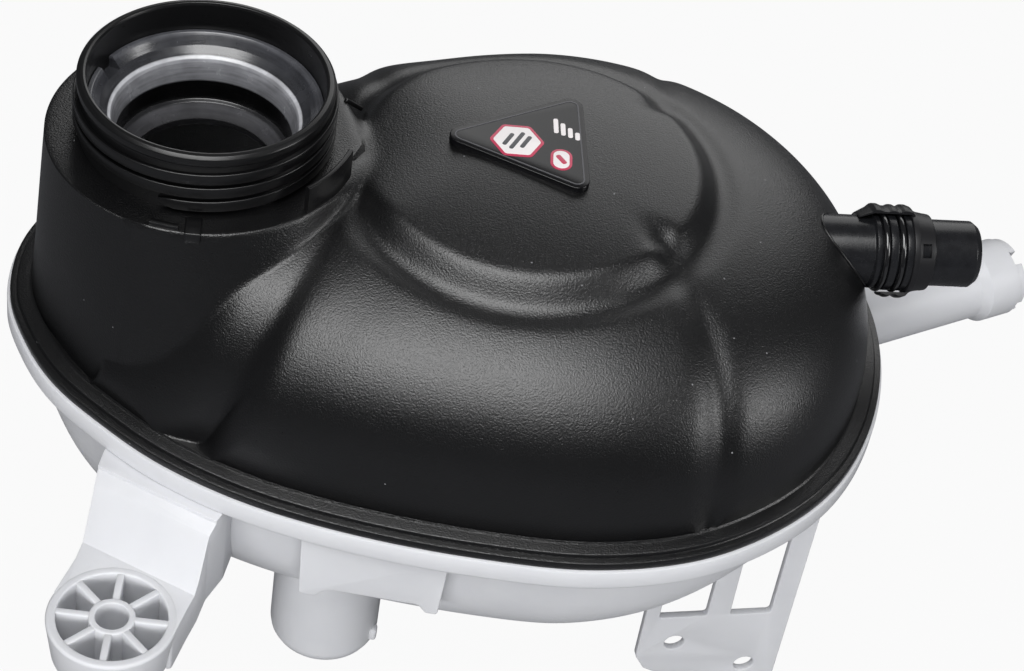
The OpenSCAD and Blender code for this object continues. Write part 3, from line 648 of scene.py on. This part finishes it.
seal_z, seal_r, throat_r = -18.5, 21.5, 17.9
seal_foot = seal_z - 6
sleeve_r, sleeve_top_z = neck_in_r - 0.05, -8
sleeve_grey, tree = new_material("polished_sleeve_plastic")
place_mm = add(tree, "ShaderNodeTexCoord").outputs["Object"]
turned = add(tree, "ShaderNodeMapping", {"Vector": place_mm, "Scale": (0.08, 0.08, 1)})
marks = add(tree, "ShaderNodeTexNoise", {"Vector": turned.outputs[0], "Scale": 1 / (0.7 * MM), "Detail": 4.0})
smear = add(tree, "ShaderNodeTexNoise", {"Vector": place_mm, "Scale": 1 / (5 * MM), "Detail": 4.0})
both = add(tree, "ShaderNodeMath", {0: marks.outputs["Fac"], 1: smear.outputs["Fac"]}, operation="ADD")
relief = add(tree, "ShaderNodeBump", {"Height": both.outputs[0], "Strength": 0.35, "Distance": 0.08 * MM})
# Bands of painted light and shade round the turned rings: a painted highlight on the seat below
# the lip, a white painted highlight along the lip's edge and painted shade on the seal wall; mm of height, then
# the colour
painted_bands_low, painted_bands_high = -30, -6
height = add(tree, "ShaderNodeSeparateXYZ", {"Vector": place_mm})
rise = add(tree, "ShaderNodeMapRange", {
    "Value": height.outputs["Z"], "From Min": painted_bands_low * MM, "From Max": painted_bands_high * MM})
painted_light_bands = add(tree, "ShaderNodeValToRGB", {"Fac": rise.outputs[0]})
stops = painted_light_bands.color_ramp.elements
for z, code in ((-28.2, "2c2c2e"), (-27.6, "4a4a4d"), (-25, "5a5a5e"), (-24.3, "0a0a0b"), (-18.9, "0c0c0d"),
                (-18.3, "9a9ba0"), (-13.1, "b9bac0"), (-12.8, "e8e9ee"), (-12.4, "e2e3e8"), (-12.2, "3a3b3f"),
                (-9, "3c3d42"), (-8.5, "55565b")):
    stops.new((z - painted_bands_low) / (painted_bands_high - painted_bands_low)).color = linear(code)
stops.remove(stops[0])
stops.remove(stops[-1])
worn = add(tree, "ShaderNodeMapRange", {
    "Value": both.outputs[0], "From Min": 0.7, "From Max": 1.3, "To Min": 0.6, "To Max": 1.1})
shade = add(tree, "ShaderNodeMix", {0: 1.0, 6: painted_light_bands.outputs["Color"], 7: worn.outputs[0]}, data_type="RGBA",
            blend_type="MULTIPLY")
rough = add(tree, "ShaderNodeMapRange", {"Value": smear.outputs["Fac"], "To Min": 0.16, "To Max": 0.34})
surface = add(tree, "ShaderNodeBsdfPrincipled", {
    "Base Color": shade.outputs[2], "Roughness": rough.outputs[0], "IOR": 1.9, "Normal": relief.outputs[0]})
add(tree, "ShaderNodeOutputMaterial", {"Surface": surface.outputs[0]})
neck_insert = lathe("neck_insert", [
    (throat_r, sleeve_seat_z, 0.3), (sleeve_r, sleeve_seat_z, 0), (sleeve_r, sleeve_top_z, 0.3),
    (27.4, sleeve_top_z, 0.4), (26.9, sleeve_top_z - 0.6, 0.4), (25.4, sleeve_top_z - 2.6, 1.0),
    (23.9, sleeve_top_z - 3.9, 0.5), (23.3, seal_z + 6, 0.25), (22.8, seal_z + 5.6, 0.25),
    (22.4, seal_z + 4.8, 0.4), (seal_r, seal_z, 0.4), (seal_r, seal_foot, 0.3), (20.3, seal_foot, 0.3),
    (19.9, seal_foot - 0.6, 0.2), (throat_r, seal_foot - 3.6, 0.4)], sleeve_grey, smooth=40)
cut_boxes(neck_insert, [((5, 5.2, 5), round_axis(163, sleeve_r - 0.85, sleeve_top_z - 0.7))])
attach(neck_insert, "tank")
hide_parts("neck_insert")

# Label plate: a moulded rounded triangle let into the round disc, with a thin rim and a printed
# film of plain shapes in white and rose on black.
label_corners = [Vector((62, 10)), Vector((87, 28.5)), Vector((91.4, 0.5))]
label_r, label_t = 3.2, 2
label_low = crown_z + 3.2 - 0.8


def grown_corners(corners, r, round_r):
    """The corners pushed out by r all round, each with a corner radius."""
    made = []
    middle = sum(corners, Vector((0, 0))) / len(corners)
    for i, p in enumerate(corners):
        a = (p - corners[i - 1]).normalized()
        b = (corners[(i + 1) % len(corners)] - p).normalized()
        side_a, side_b = Vector((a.y, -a.x)), Vector((b.y, -b.x))
        if side_a.dot(p - middle) < 0:
            side_a, side_b = -side_a, -side_b
        out = (side_a + side_b).normalized()
        spot = p + out * r / out.dot(side_a)
        made.append((spot.x, spot.y, round_r))
    return made


def from_curve(name, curve, loops, material):
    """A plain piece from a curve's settings and closed lines of points in millimetres."""
    for loop in loops:
        line = curve.splines.new("POLY")
        line.points.add(len(loop) - 1)
        line.use_cyclic_u = True
        for point, spot in zip(line.points, loop):
            point.co = (*(Vector((*spot, 0)[:3]) * MM), 1)
    shaped = placed(name, curve)
    mesh = plain_mesh(shaped)
    bpy.data.objects.remove(shaped)
    mesh.materials.clear()
    mesh.materials.append(material)
    return placed(name, mesh)


def slab(name, loops, low, high, edge_r, material, turn=Matrix.Identity(4)):
    """A flat moulding from closed outlines, the holes included, with its edges rounded by edge_r."""
    curve = bpy.data.curves.new(name, "CURVE")
    curve.dimensions, curve.fill_mode = "2D", "BOTH"
    curve.extrude = (high - low) / 2 * MM - edge_r * MM
    curve.bevel_depth, curve.bevel_resolution = edge_r * MM, 2
    curve.offset = -edge_r * MM
    thing = from_curve(name, curve, loops, material)
    thing.data.transform(turn @ turned_to((0, 0, (low + high) / 2)))
    welded(thing, 0.0005)
    thing.data.set_sharp_from_angle(angle=radians(40))
    return thing


# Glossy printed film with a faint orange-peel of 1.5 mm
film_black, film_white, film_rose, film_grey = (
    moulded(name, [colour], 1.5, 1.0, 0.12, 0.02, [0.22], {"IOR": 1.5})
    for name, colour in (("black_label_film", "0a0a0c"), ("white_label_print", "f1ecec"),
                         ("rose_label_print", "c0405c"), ("grey_label_print", "4a4a4e")))
label_plate = slab("label_plate", [filleted(grown_corners(label_corners, label_r, label_r), 10)],
                   label_low, label_low + label_t, 0.3, film_black)
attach(label_plate, "tank")
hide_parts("label_plate")


def inlay(name, loops, rise, material):
    """A thin printed shape that stands a hair over the plate's face."""
    face = label_low + label_t
    shape = slab(name, loops, face - 0.3, face + rise, 0.02, material)
    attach(shape, "tank")


def box_print(name, wide, high, r, at, turn, rise, material, per_corner=4):
    """A printed box with round corners, turned by an angle in degrees and set down at a place."""
    a = radians(turn)
    corners = [(at[0] + (x * cos(a) * wide - y * sin(a) * high) / 2,
                at[1] + (x * sin(a) * wide + y * cos(a) * high) / 2, r)
               for x, y in ((-1, -1), (1, -1), (1, 1), (-1, 1))]
    inlay(name, [filleted(corners, per_corner)], rise, material)


# The print's shapes: a thin pale edge line, a white hexagon with a rose frame and three grey bars,
# four short white bars in a column, and a white pill with a rose frame
edge_lines = [filleted(grown_corners(label_corners, label_r - w, label_r - w), 10) for w in (1.2, 1.6)]
inlay("label_edge_line", edge_lines, 0.06, film_grey)
hexagon_at, pill_at = (75.4, 11.2), (86.9, 6.9)
for name, reach, r, rise, print_film in (
        ("label_hexagon_frame", 6.9, 1.4, 0.05, film_rose), ("label_hexagon", 6.0, 1.0, 0.1, film_white)):
    corners = [(hexagon_at[0] + reach * cos(radians(60 * k + 8)),
                hexagon_at[1] + reach * sin(radians(60 * k + 8)), r) for k in range(6)]
    inlay(name, [filleted(corners, 6)], rise, print_film)
for k, long in ((-1, 5.2), (0, 7.4), (1, 5.2)):
    bar_at = (hexagon_at[0] + 2.2 * k, hexagon_at[1])
    box_print("label_grey_bar", 1.1, long, 0.5, bar_at, -20, 0.15, film_grey)
for k in range(4):
    bar_at = (84.2 + 1.9 * k, 19.6 - 0.9 * k)
    box_print("label_white_bar", 1.2, 5.6 - 0.9 * k, 0.5, bar_at, 8, 0.08, film_white)
box_print("label_pill_frame", 5.4, 8.0, 2.6, pill_at, 5, 0.05, film_rose, 6)
box_print("label_pill", 4.0, 6.6, 1.95, pill_at, 5, 0.1, film_white, 6)
box_print("label_pill_bar", 1.3, 3.6, 0.5, pill_at, 40, 0.15, film_rose)

# Vent spigot: a turned-looking tube of glossy black glass-filled nylon, spun-welded into the dome;
# it has two seats for the rings and a chamfered hose end. The weld leaves a fine bead round it.
vent_r, vent_bore_r, hose_r = 8.9, 6.5, 8.6
vent_len, hose_z, collar_z = 38, 25.4, 19.2
ring_places = (12.1, 16.4)
seat_r, seat_w, land_r, collar_seat_r = 9.2, 2.2, 10.2, 9
gloss_black, tree = new_material("glossy_black_nylon")
place_mm = add(tree, "ShaderNodeTexCoord").outputs["Object"]
ripple = add(tree, "ShaderNodeTexNoise", {"Vector": place_mm, "Scale": 1 / (2.5 * MM), "Detail": 3.0})
fine_grain = add(tree, "ShaderNodeTexNoise", {"Vector": place_mm, "Scale": 1 / (0.25 * MM), "Detail": 1.0})
both = add(tree, "ShaderNodeMath", {0: ripple.outputs["Fac"], 1: fine_grain.outputs["Fac"]}, operation="ADD")
relief = add(tree, "ShaderNodeBump", {"Height": both.outputs[0], "Strength": 0.25, "Distance": 0.04 * MM})
shade = add(tree, "ShaderNodeMix", {0: ripple.outputs["Fac"], 6: linear("131315"), 7: linear("1d1e21")},
            data_type="RGBA")
rough = add(tree, "ShaderNodeMapRange", {"Value": ripple.outputs["Fac"], "To Min": 0.2, "To Max": 0.34})
surface = add(tree, "ShaderNodeBsdfPrincipled", {
    "Base Color": shade.outputs[2], "Roughness": rough.outputs[0], "IOR": 1.53, "Normal": relief.outputs[0]})
add(tree, "ShaderNodeOutputMaterial", {"Surface": surface.outputs[0]})
seat_lo = [t - seat_w / 2 for t in ring_places]
seat_hi = [t + seat_w / 2 for t in ring_places]
vent_spigot = lathe("vent_spigot", [
    (vent_bore_r, -12, 0.2), (vent_r, -12, 0.2), (vent_r, 9.4, 0.4), (land_r - 0.4, 9.8, 0.25),
    (land_r - 0.4, seat_lo[0], 0.15), (seat_r, seat_lo[0], 0.15), (seat_r, seat_hi[0], 0.15),
    (land_r, seat_hi[0], 0.3), (land_r, seat_lo[1], 0.3), (seat_r, seat_lo[1], 0.15),
    (seat_r, seat_hi[1], 0.15), (land_r, seat_hi[1], 0.3), (land_r, collar_z, 0.1),
    (collar_seat_r, collar_z, 0), (collar_seat_r, hose_z, 0.2), (hose_r, hose_z, 0.1),
    (hose_r, vent_len - 1.6, 0.5), (hose_r - 1.2, vent_len, 0.3), (vent_bore_r, vent_len, 0.3)],
    gloss_black, at_vent)
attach(vent_spigot, "tank")
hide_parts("vent_spigot")
weld_line = []
for k in range(120):
    for t in np.arange(-11, 24, 0.1):
        spot = round_spot(vent_r, 2 * pi * k / 120, t, at_vent)
        if top_z(np.array([spot.x]), np.array([spot.y]))[0] <= spot.z or not -40 < spot.x < 172:
            weld_line.append(spot)
            break
bead = bpy.data.curves.new("vent_weld_bead", "CURVE")
bead.dimensions, bead.bevel_depth, bead.bevel_resolution = "3D", 0.35 * MM, 3
vent_weld = from_curve("vent_weld_bead", bead, [weld_line], smooth_black)
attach(vent_weld, "tank")

# Spigot rings: two round sealing rings of black rubber that sit in the spigot's seats. Their grease
# lies in beads of about 1.2 mm, which give sharp wet lights.
rubber = moulded("greased_black_rubber", ["101012"], 1.2, 2.0, 0.3, 0.05, (0.1, 0.24),
                 {"IOR": 1.55, "Coat Weight": 1.0, "Coat Roughness": 0.08, "Coat IOR": 1.7})
ring_wire = 0.75
for i, t in enumerate(ring_places):
    section = [(seat_r + ring_wire - 0.02 + ring_wire * cos(radians(15 * k)),
                t + ring_wire * sin(radians(15 * k)), 0) for k in range(24)]
    ring = lathe("spigot_ring", section, rubber, at_vent, smooth=60)
    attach(ring, "tank")
    if i == 0:
        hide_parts("spigot_rings")

# Spigot collar: a satin black snap collar moulded in one piece, its sheen evened by a fine texture
# of 0.3 mm. Two arms reach back from its disc over the rings, and its cone has four small windows.
satin_black = moulded("satin_black_polyamide", ["19191b"], 0.3, 2.0, 0.3, 0.04, (0.34, 0.46), {"IOR": 1.5})
collar_t, collar_r, cone_len = 1.6, 10.7, 4.2
collar_end = collar_z + collar_t + cone_len
spigot_collar = lathe("spigot_collar", [
    (collar_seat_r + 0.02, collar_z, 0.1), (collar_r, collar_z, 0.3), (collar_r, collar_z + collar_t, 0.3),
    (collar_r - 0.2, collar_z + collar_t, 0.1), (collar_r - 0.9, collar_end, 0.3),
    (collar_seat_r + 0.02, collar_end, 0.1)], satin_black, at_vent)
window_z = collar_z + collar_t + 1.8
cut_boxes(spigot_collar, [((4, 3.6, 2.4), round_axis(a, 10.5, window_z, at_vent)) for a in (47, 137, 227, 317)])
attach(spigot_collar, "tank")
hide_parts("spigot_collar")
arm_section = [
    (9.25, 6, 0.1), (9.3, 5.7, 0.1), (9.7, 6, 0.2), (11.3, 8.9, 0.5), (12.1, 9.8, 0.5), (12.1, 11, 0.5),
    (11.6, 12.2, 0.5), (11.6, 13.4, 0.5), (12, 14.2, 0.5), (12, 15, 0.5), (11.6, 15.8, 0.5),
    (11.6, 16.6, 0.5), (12.1, 17.4, 0.5), (12.1, 18.4, 0.5), (11.7, 19.6, 0.5), (10.4, collar_z + 1.4, 0),
    (10.4, collar_z + 0.3, 0), (10.95, collar_z + 0.3, 0), (10.95, 9.6, 0.4), (10.7, 8.9, 0.4)]
short_section = [corner for corner in arm_section if corner[1] > 13] + [(10.95, 12.8, 0.2), (11.6, 12.8, 0.3)]
for at, half, outline in ((137, 33, filleted(arm_section, 3)), (317, 15, filleted(short_section, 3))):
    rows, mid_r = 24, 11.3
    points = []
    for i in range(rows + 1):
        a = radians(at - half + 2 * half * i / rows)
        # The arm's side edges are rounded: its first and last rows are drawn in a little
        back = 0.18 if i in (0, rows) else 0
        points += [round_spot(r + (mid_r - r) * back, a, z, at_vent) for r, z in outline]
    n = len(outline)
    faces = skin_faces(rows + 1, n) + [range(n), range(rows * n, rows * n + n)]
    arm = welded(mesh_object("snap_arm", points, faces, satin_black, 35))
    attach(arm, "tank")

# Lower shell: one moulding of milky natural polypropylene with its flange, bowl, sump cup, foot,
# bracket, tab and nozzle. It lets a little light into its skin, which the melt clouds every 14 mm or
# so, under a weak texture of 0.8 mm.
milky_pp = moulded(
    "milky_natural_polypropylene", ("d0d1d5", "dadbde"), 0.8, 2.0, 0.2, 0.05, (0.38, 0.5),
    {"IOR": 1.49, "Subsurface Weight": 0.25, "Subsurface Radius": (1.0, 1.0, 1.1), "Subsurface Scale": 1.5 * MM},
    flow_mm=14)
low_z = weld_z - 6.5
bowl_in, bowl_depth = 6.5, 47.5
low_columns = slice(None, None, 2)


def bowl_deep(q):
    return bowl_depth - 12 * ease((0.34 - q) / 0.3) - 14 * ease((q - 0.62) / 0.25)


def bowl_ring(t, w, skin_t):
    """One ring of the bowl, t from 0 at its rim to 1 at the bottom, inset by w and raised by skin_t."""
    s = max(1 - t ** 3, 0) ** (1 / 3)
    rim, mid = bowl_deep(share), bowl_deep(np.clip(share, spine_lo, spine_hi))
    deep = rim + (mid - rim) * (1 - s) ** 2
    return np.column_stack([spine + s * (inset(w) - spine), low_z - (deep - skin_t) * t])[low_columns]


bowl_rings = [flat_ring(w, z)[low_columns] for w, z in (
    (flange_w + wall, weld_z), (-0.3, weld_z), (-0.65, weld_z - 0.15), (-0.8, weld_z - 0.5),
    (-0.8, low_z + 1.4), (-0.68, low_z + 0.9), (-0.4, low_z + 0.5), (0, low_z + 0.15), (0.5, low_z),
    (bowl_in - 0.6, low_z),
    (bowl_in - 0.2, low_z - 0.1), (bowl_in, low_z - 0.4))]
bowl_rings += [bowl_ring(t, bowl_in, 0) for t in np.linspace(0.02, 1, 56)]
bowl_rings += [bowl_ring(t, flange_w + wall + 1.2, wall) for t in np.linspace(1, 0.02, 24)]
bowl_rings.append(flat_ring(flange_w + wall + 1.2, low_z)[low_columns])
bowl_quads = skin_faces(len(bowl_rings), columns // 2)
lower_shell = welded(mesh_object("lower_shell", np.vstack(bowl_rings), bowl_quads, milky_pp, 30))
sump_r, sump_in_r = 14, 11.4
at_sump = turned_to((46.6, -47, 0))
at_nozzle = turned_to((191.5, 67, -90), 34.5, 90)
cut_bore(lower_shell, sump_in_r + 0.3, -135, -92, at_sump)
cut_bore(lower_shell, 7.6, -34, 4, at_nozzle)
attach(lower_shell, "tank")
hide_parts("lower_shell")

# Sump cup and hose nozzle, parts of the lower shell: the cup hangs under the bowl's front and holds
# the level float; the nozzle at the rear has a notched lip that stops the hose coupling.
cup_low, cup_floor, cup_top = -137.5, -134.5, -104
cup = lathe("sump_cup", [
    (3.96, cup_low, 0), (sump_r, cup_low, 9), (sump_r, cup_top, 0), (sump_in_r, cup_top, 0),
    (sump_in_r, cup_floor, 3), (3.96, cup_floor, 0)], milky_pp, at_sump)
nub = bmesh.new()
rounded_block(nub, (4.5, 3.0, 4.0), at_sump @ turned_to((12.2, -4.5, -131)), 0.8)
cup_nub = from_bmesh("sump_nub", nub, milky_pp)
nozzle_len, lip_len = 33, 2.4
nozzle = lathe("hose_nozzle", [
    (7.2, -34, 0), (9.4, -34, 0), (9.4, nozzle_len - 14.5, 0.6), (11, nozzle_len - 12, 0.8),
    (11, nozzle_len - lip_len, 0.4), (10.5, nozzle_len - lip_len, 0.1), (10.5, nozzle_len, 0.5),
    (7.2, nozzle_len, 0.4)], milky_pp, at_nozzle)
notch_z = nozzle_len - lip_len + 2.1
cut_boxes(nozzle, [((10, 4, 5), round_axis(a, 11, notch_z, at_nozzle)) for a in (20, 110, 200, 290)])
for piece in (cup, cup_nub, nozzle):
    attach(piece, "tank")

# Lattice foot, part of the lower shell: an arm whose top slopes down from a fold to a round eye
# plate with eight spokes between its rim and its hub; the arm is hollow underneath.
foot_at, foot_r, foot_top, foot_h = (0.8, -94.6), 15.7, -90, 12
rim_t, hub_r, eye_r, spoke_t = 2.5, 5.6, 4, 1.8
foot_low = foot_top - foot_h
at_foot = turned_to((*foot_at, 0))
arm_half = foot_r - 0.6


def prism(corners, low, high, turn=Matrix.Identity(4)):
    """An upright bmesh shape from an outline in millimetres."""
    shape = bmesh.new()
    lower = [shape.verts.new(turn @ (Vector((x, y, low)) * MM)) for x, y in corners]
    upper = [shape.verts.new(turn @ (Vector((x, y, high)) * MM)) for x, y in corners]
    n = len(corners)
    shape.faces.new(lower[::-1])
    shape.faces.new(upper)
    for i in range(n):
        shape.faces.new((lower[i], lower[(i + 1) % n], upper[(i + 1) % n], upper[i]))
    bmesh.ops.recalc_face_normals(shape, faces=shape.faces)
    return shape


arm_plan = filleted([
    (-10, -48, 0), (-10.8, -60, 1), (-10.8, -66, 2), (-11.8, -79, 6), (foot_at[0] - arm_half, -91, 1),
    (*foot_at, 0), (foot_at[0] + arm_half, -98, 1), (17.6, -88, 3), (18.8, -82, 4), (19.5, -75, 4),
    (22.3, -67, 3), (23, -58, 0)], 4)
foot_arm = from_bmesh("foot_arm", prism(arm_plan, foot_low, low_z + 0.5), milky_pp)
fold_z, fold_run = low_z - 2, 9.1
standing = Matrix(((0, 0, 1, 0), (1, 0, 0, 0), (0, 1, 0, 0), (0, 0, 0, 1)))
slope = prism([(0, fold_z), (-fold_run, foot_top - 0.05), (-70, foot_top - 0.05), (-70, -60), (3, -60),
               (3, low_z - 0.5)], -30, 70, turned_to((-10, -64.5, 0), -19.4) @ standing)
take_out(foot_arm, slope)
cut_bore(foot_arm, foot_r - rim_t + 0.3, foot_low - 1, foot_top + 2, at_foot)
take_out(foot_arm, prism([(-8, -52), (-9, -76), (8, -76.6), (15.6, -80), (19, -67), (19.6, -52)],
                         foot_low - 1, foot_top - 2.6))
bevel = foot_arm.modifiers.new("soft_edges", "BEVEL")
bevel.width, bevel.segments, bevel.limit_method, bevel.angle_limit = 0.7 * MM, 3, "ANGLE", radians(35)
keep_result(foot_arm)
foot_rim = lathe("foot_rim", [
    (foot_r - rim_t, foot_low, 0.5), (foot_r - 1.4, foot_low, 0.8), (foot_r, foot_top, 0.8),
    (foot_r - rim_t, foot_top, 0.5)], milky_pp, at_foot)
foot_hub = lathe("foot_hub", [
    (eye_r, foot_low, 0.3), (hub_r, foot_low, 0.4), (hub_r, foot_top, 0.5), (eye_r, foot_top, 0.3)],
    milky_pp, at_foot)
spoke_len = foot_r - rim_t - hub_r + 0.8
block = bmesh.new()
rounded_block(block, (spoke_len, spoke_t, foot_h - 0.3), Matrix.Identity(4), 0.4)
spoke = from_bmesh("foot_spoke", block, milky_pp)
tree, given, result = nodes_tree("foot_spokes", spokes=8, radius=(hub_r - 0.4 + spoke_len / 2) * MM, start=4.0)
ring_points = add(tree, "GeometryNodeMeshCircle", {
    "Vertices": given.outputs["spokes"], "Radius": given.outputs["radius"]})
spoke_in = add(tree, "GeometryNodeObjectInfo", {"Object": spoke})
number = add(tree, "GeometryNodeInputIndex")
full_turn = add(tree, "ShaderNodeMath", {0: 2 * pi, 1: given.outputs["spokes"]}, operation="DIVIDE")
bearing = add(tree, "ShaderNodeMath", {0: number.outputs[0], 1: full_turn.outputs[0]}, operation="MULTIPLY")
facing = add(tree, "ShaderNodeCombineXYZ", {"Z": bearing.outputs[0]})
spread = add(tree, "GeometryNodeInstanceOnPoints", {
    "Points": ring_points.outputs[0], "Instance": spoke_in.outputs["Geometry"], "Rotation": facing.outputs[0]})
start_turn = add(tree, "ShaderNodeMath", {0: given.outputs["start"]}, operation="RADIANS")
start_facing = add(tree, "ShaderNodeCombineXYZ", {"Z": start_turn.outputs[0]})
set_down = add(tree, "GeometryNodeTransform", {
    "Geometry": spread.outputs[0], "Translation": Vector((*foot_at, foot_top - foot_h / 2)) * MM,
    "Rotation": start_facing.outputs[0]})
real = add(tree, "GeometryNodeRealizeInstances", {"Geometry": set_down.outputs[0]})
dressed = add(tree, "GeometryNodeSetMaterial", {"Geometry": real.outputs[0], "Material": milky_pp})
tree.links.new(dressed.outputs[0], result.inputs[0])
foot_spokes = run_nodes("foot_spokes", tree)
bpy.data.objects.remove(spoke)

# Bracket and front tab, parts of the lower shell: two upright plates under the flange. The bracket
# at the vent end has two windows and two rivet holes; the tab stands on two small feet.
bracket_t = 2.2
rivet_holes = [[(x + 2.7 * cos(radians(7.5 * k)), z + 2.7 * sin(radians(7.5 * k)))
                for k in range(48)] for x, z in ((-31.7, -132.5), (-10.6, -142.9))]
bracket = slab("windowed_bracket", [
    filleted([(-1.5, low_z + 1, 0), (-1.5, -156, 1.5), (-3, -158, 1.5), (-18, -158, 2), (-20.5, -155, 2),
              (-21.5, -147.5, 2), (-24, -145.2, 2), (-34, -145.2, 3), (-38.5, -142.6, 3), (-41.4, -137.5, 3),
              (-41.4, -112, 4), (-55, -104, 4), (-60, low_z + 1, 0)]),
    filleted([(-37.5, -122, 1), (-37.5, -100, 1), (-24.6, -100, 1), (-24.6, -122, 1)]),
    filleted([(-18.3, -122, 1), (-18.7, -88, 1), (-7.4, -88, 1), (-7.2, -122, 1)])] + rivet_holes,
    -bracket_t, 0, 0.35, milky_pp, turned_to((169, -27.4, 0), 16.4, 90, "X"))
tab_t = 2.6
tab = slab("front_tab", [
    filleted([(0, low_z + 1, 0), (0.6, -96.6, 1), (4.6, -96.6, 1), (7.6, -93.4, 2), (30, -92.8, 1.5),
              (32, -95.2, 0.8), (35, -95.2, 1), (36.1, low_z + 1, 0)])],
    -tab_t, 0, 0.4, milky_pp, turned_to((41.1, -72.2, 0), -1, 90, "X"))
for piece in (foot_arm, foot_rim, foot_hub, foot_spokes, bracket, tab):
    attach(piece, "tank")

# Guide post, float, magnet and clip: held inside the sump cup and not seen from outside. The post is
# natural polypropylene pressed into the cup's floor; the float is foamed plastic with a ring magnet
# let into its underside, kept on the post by a push-on clip.
for name, stuff, tones, grain_mm, rough in (
        ("guide_post", "natural_polypropylene", ("c2c4c7", "cfd1d3"), 6, (0.36, 0.48)),
        ("float_ring", "foamed_float_plastic", ("c9c2ab", "ddd7c4"), 1.5, (0.64, 0.76)),
        ("float_magnet", "sintered_ferrite", ("2c2c2f", "3a3a3d"), 1.0, (0.44, 0.56)),
        ("post_clip", "dark_grey_acetal", ("26272a", "303135"), 4, (0.29, 0.41))):
    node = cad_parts[name]
    node.data.materials.clear()
    node.data.materials.append(moulded(stuff, tones, grain_mm, 4.0, 0.3, 0.05, rough, {"IOR": 1.5}))
    bevel = node.modifiers.new("soft_edges", "BEVEL")
    bevel.width, bevel.segments, bevel.limit_method = 0.15 * MM, 2, "ANGLE"
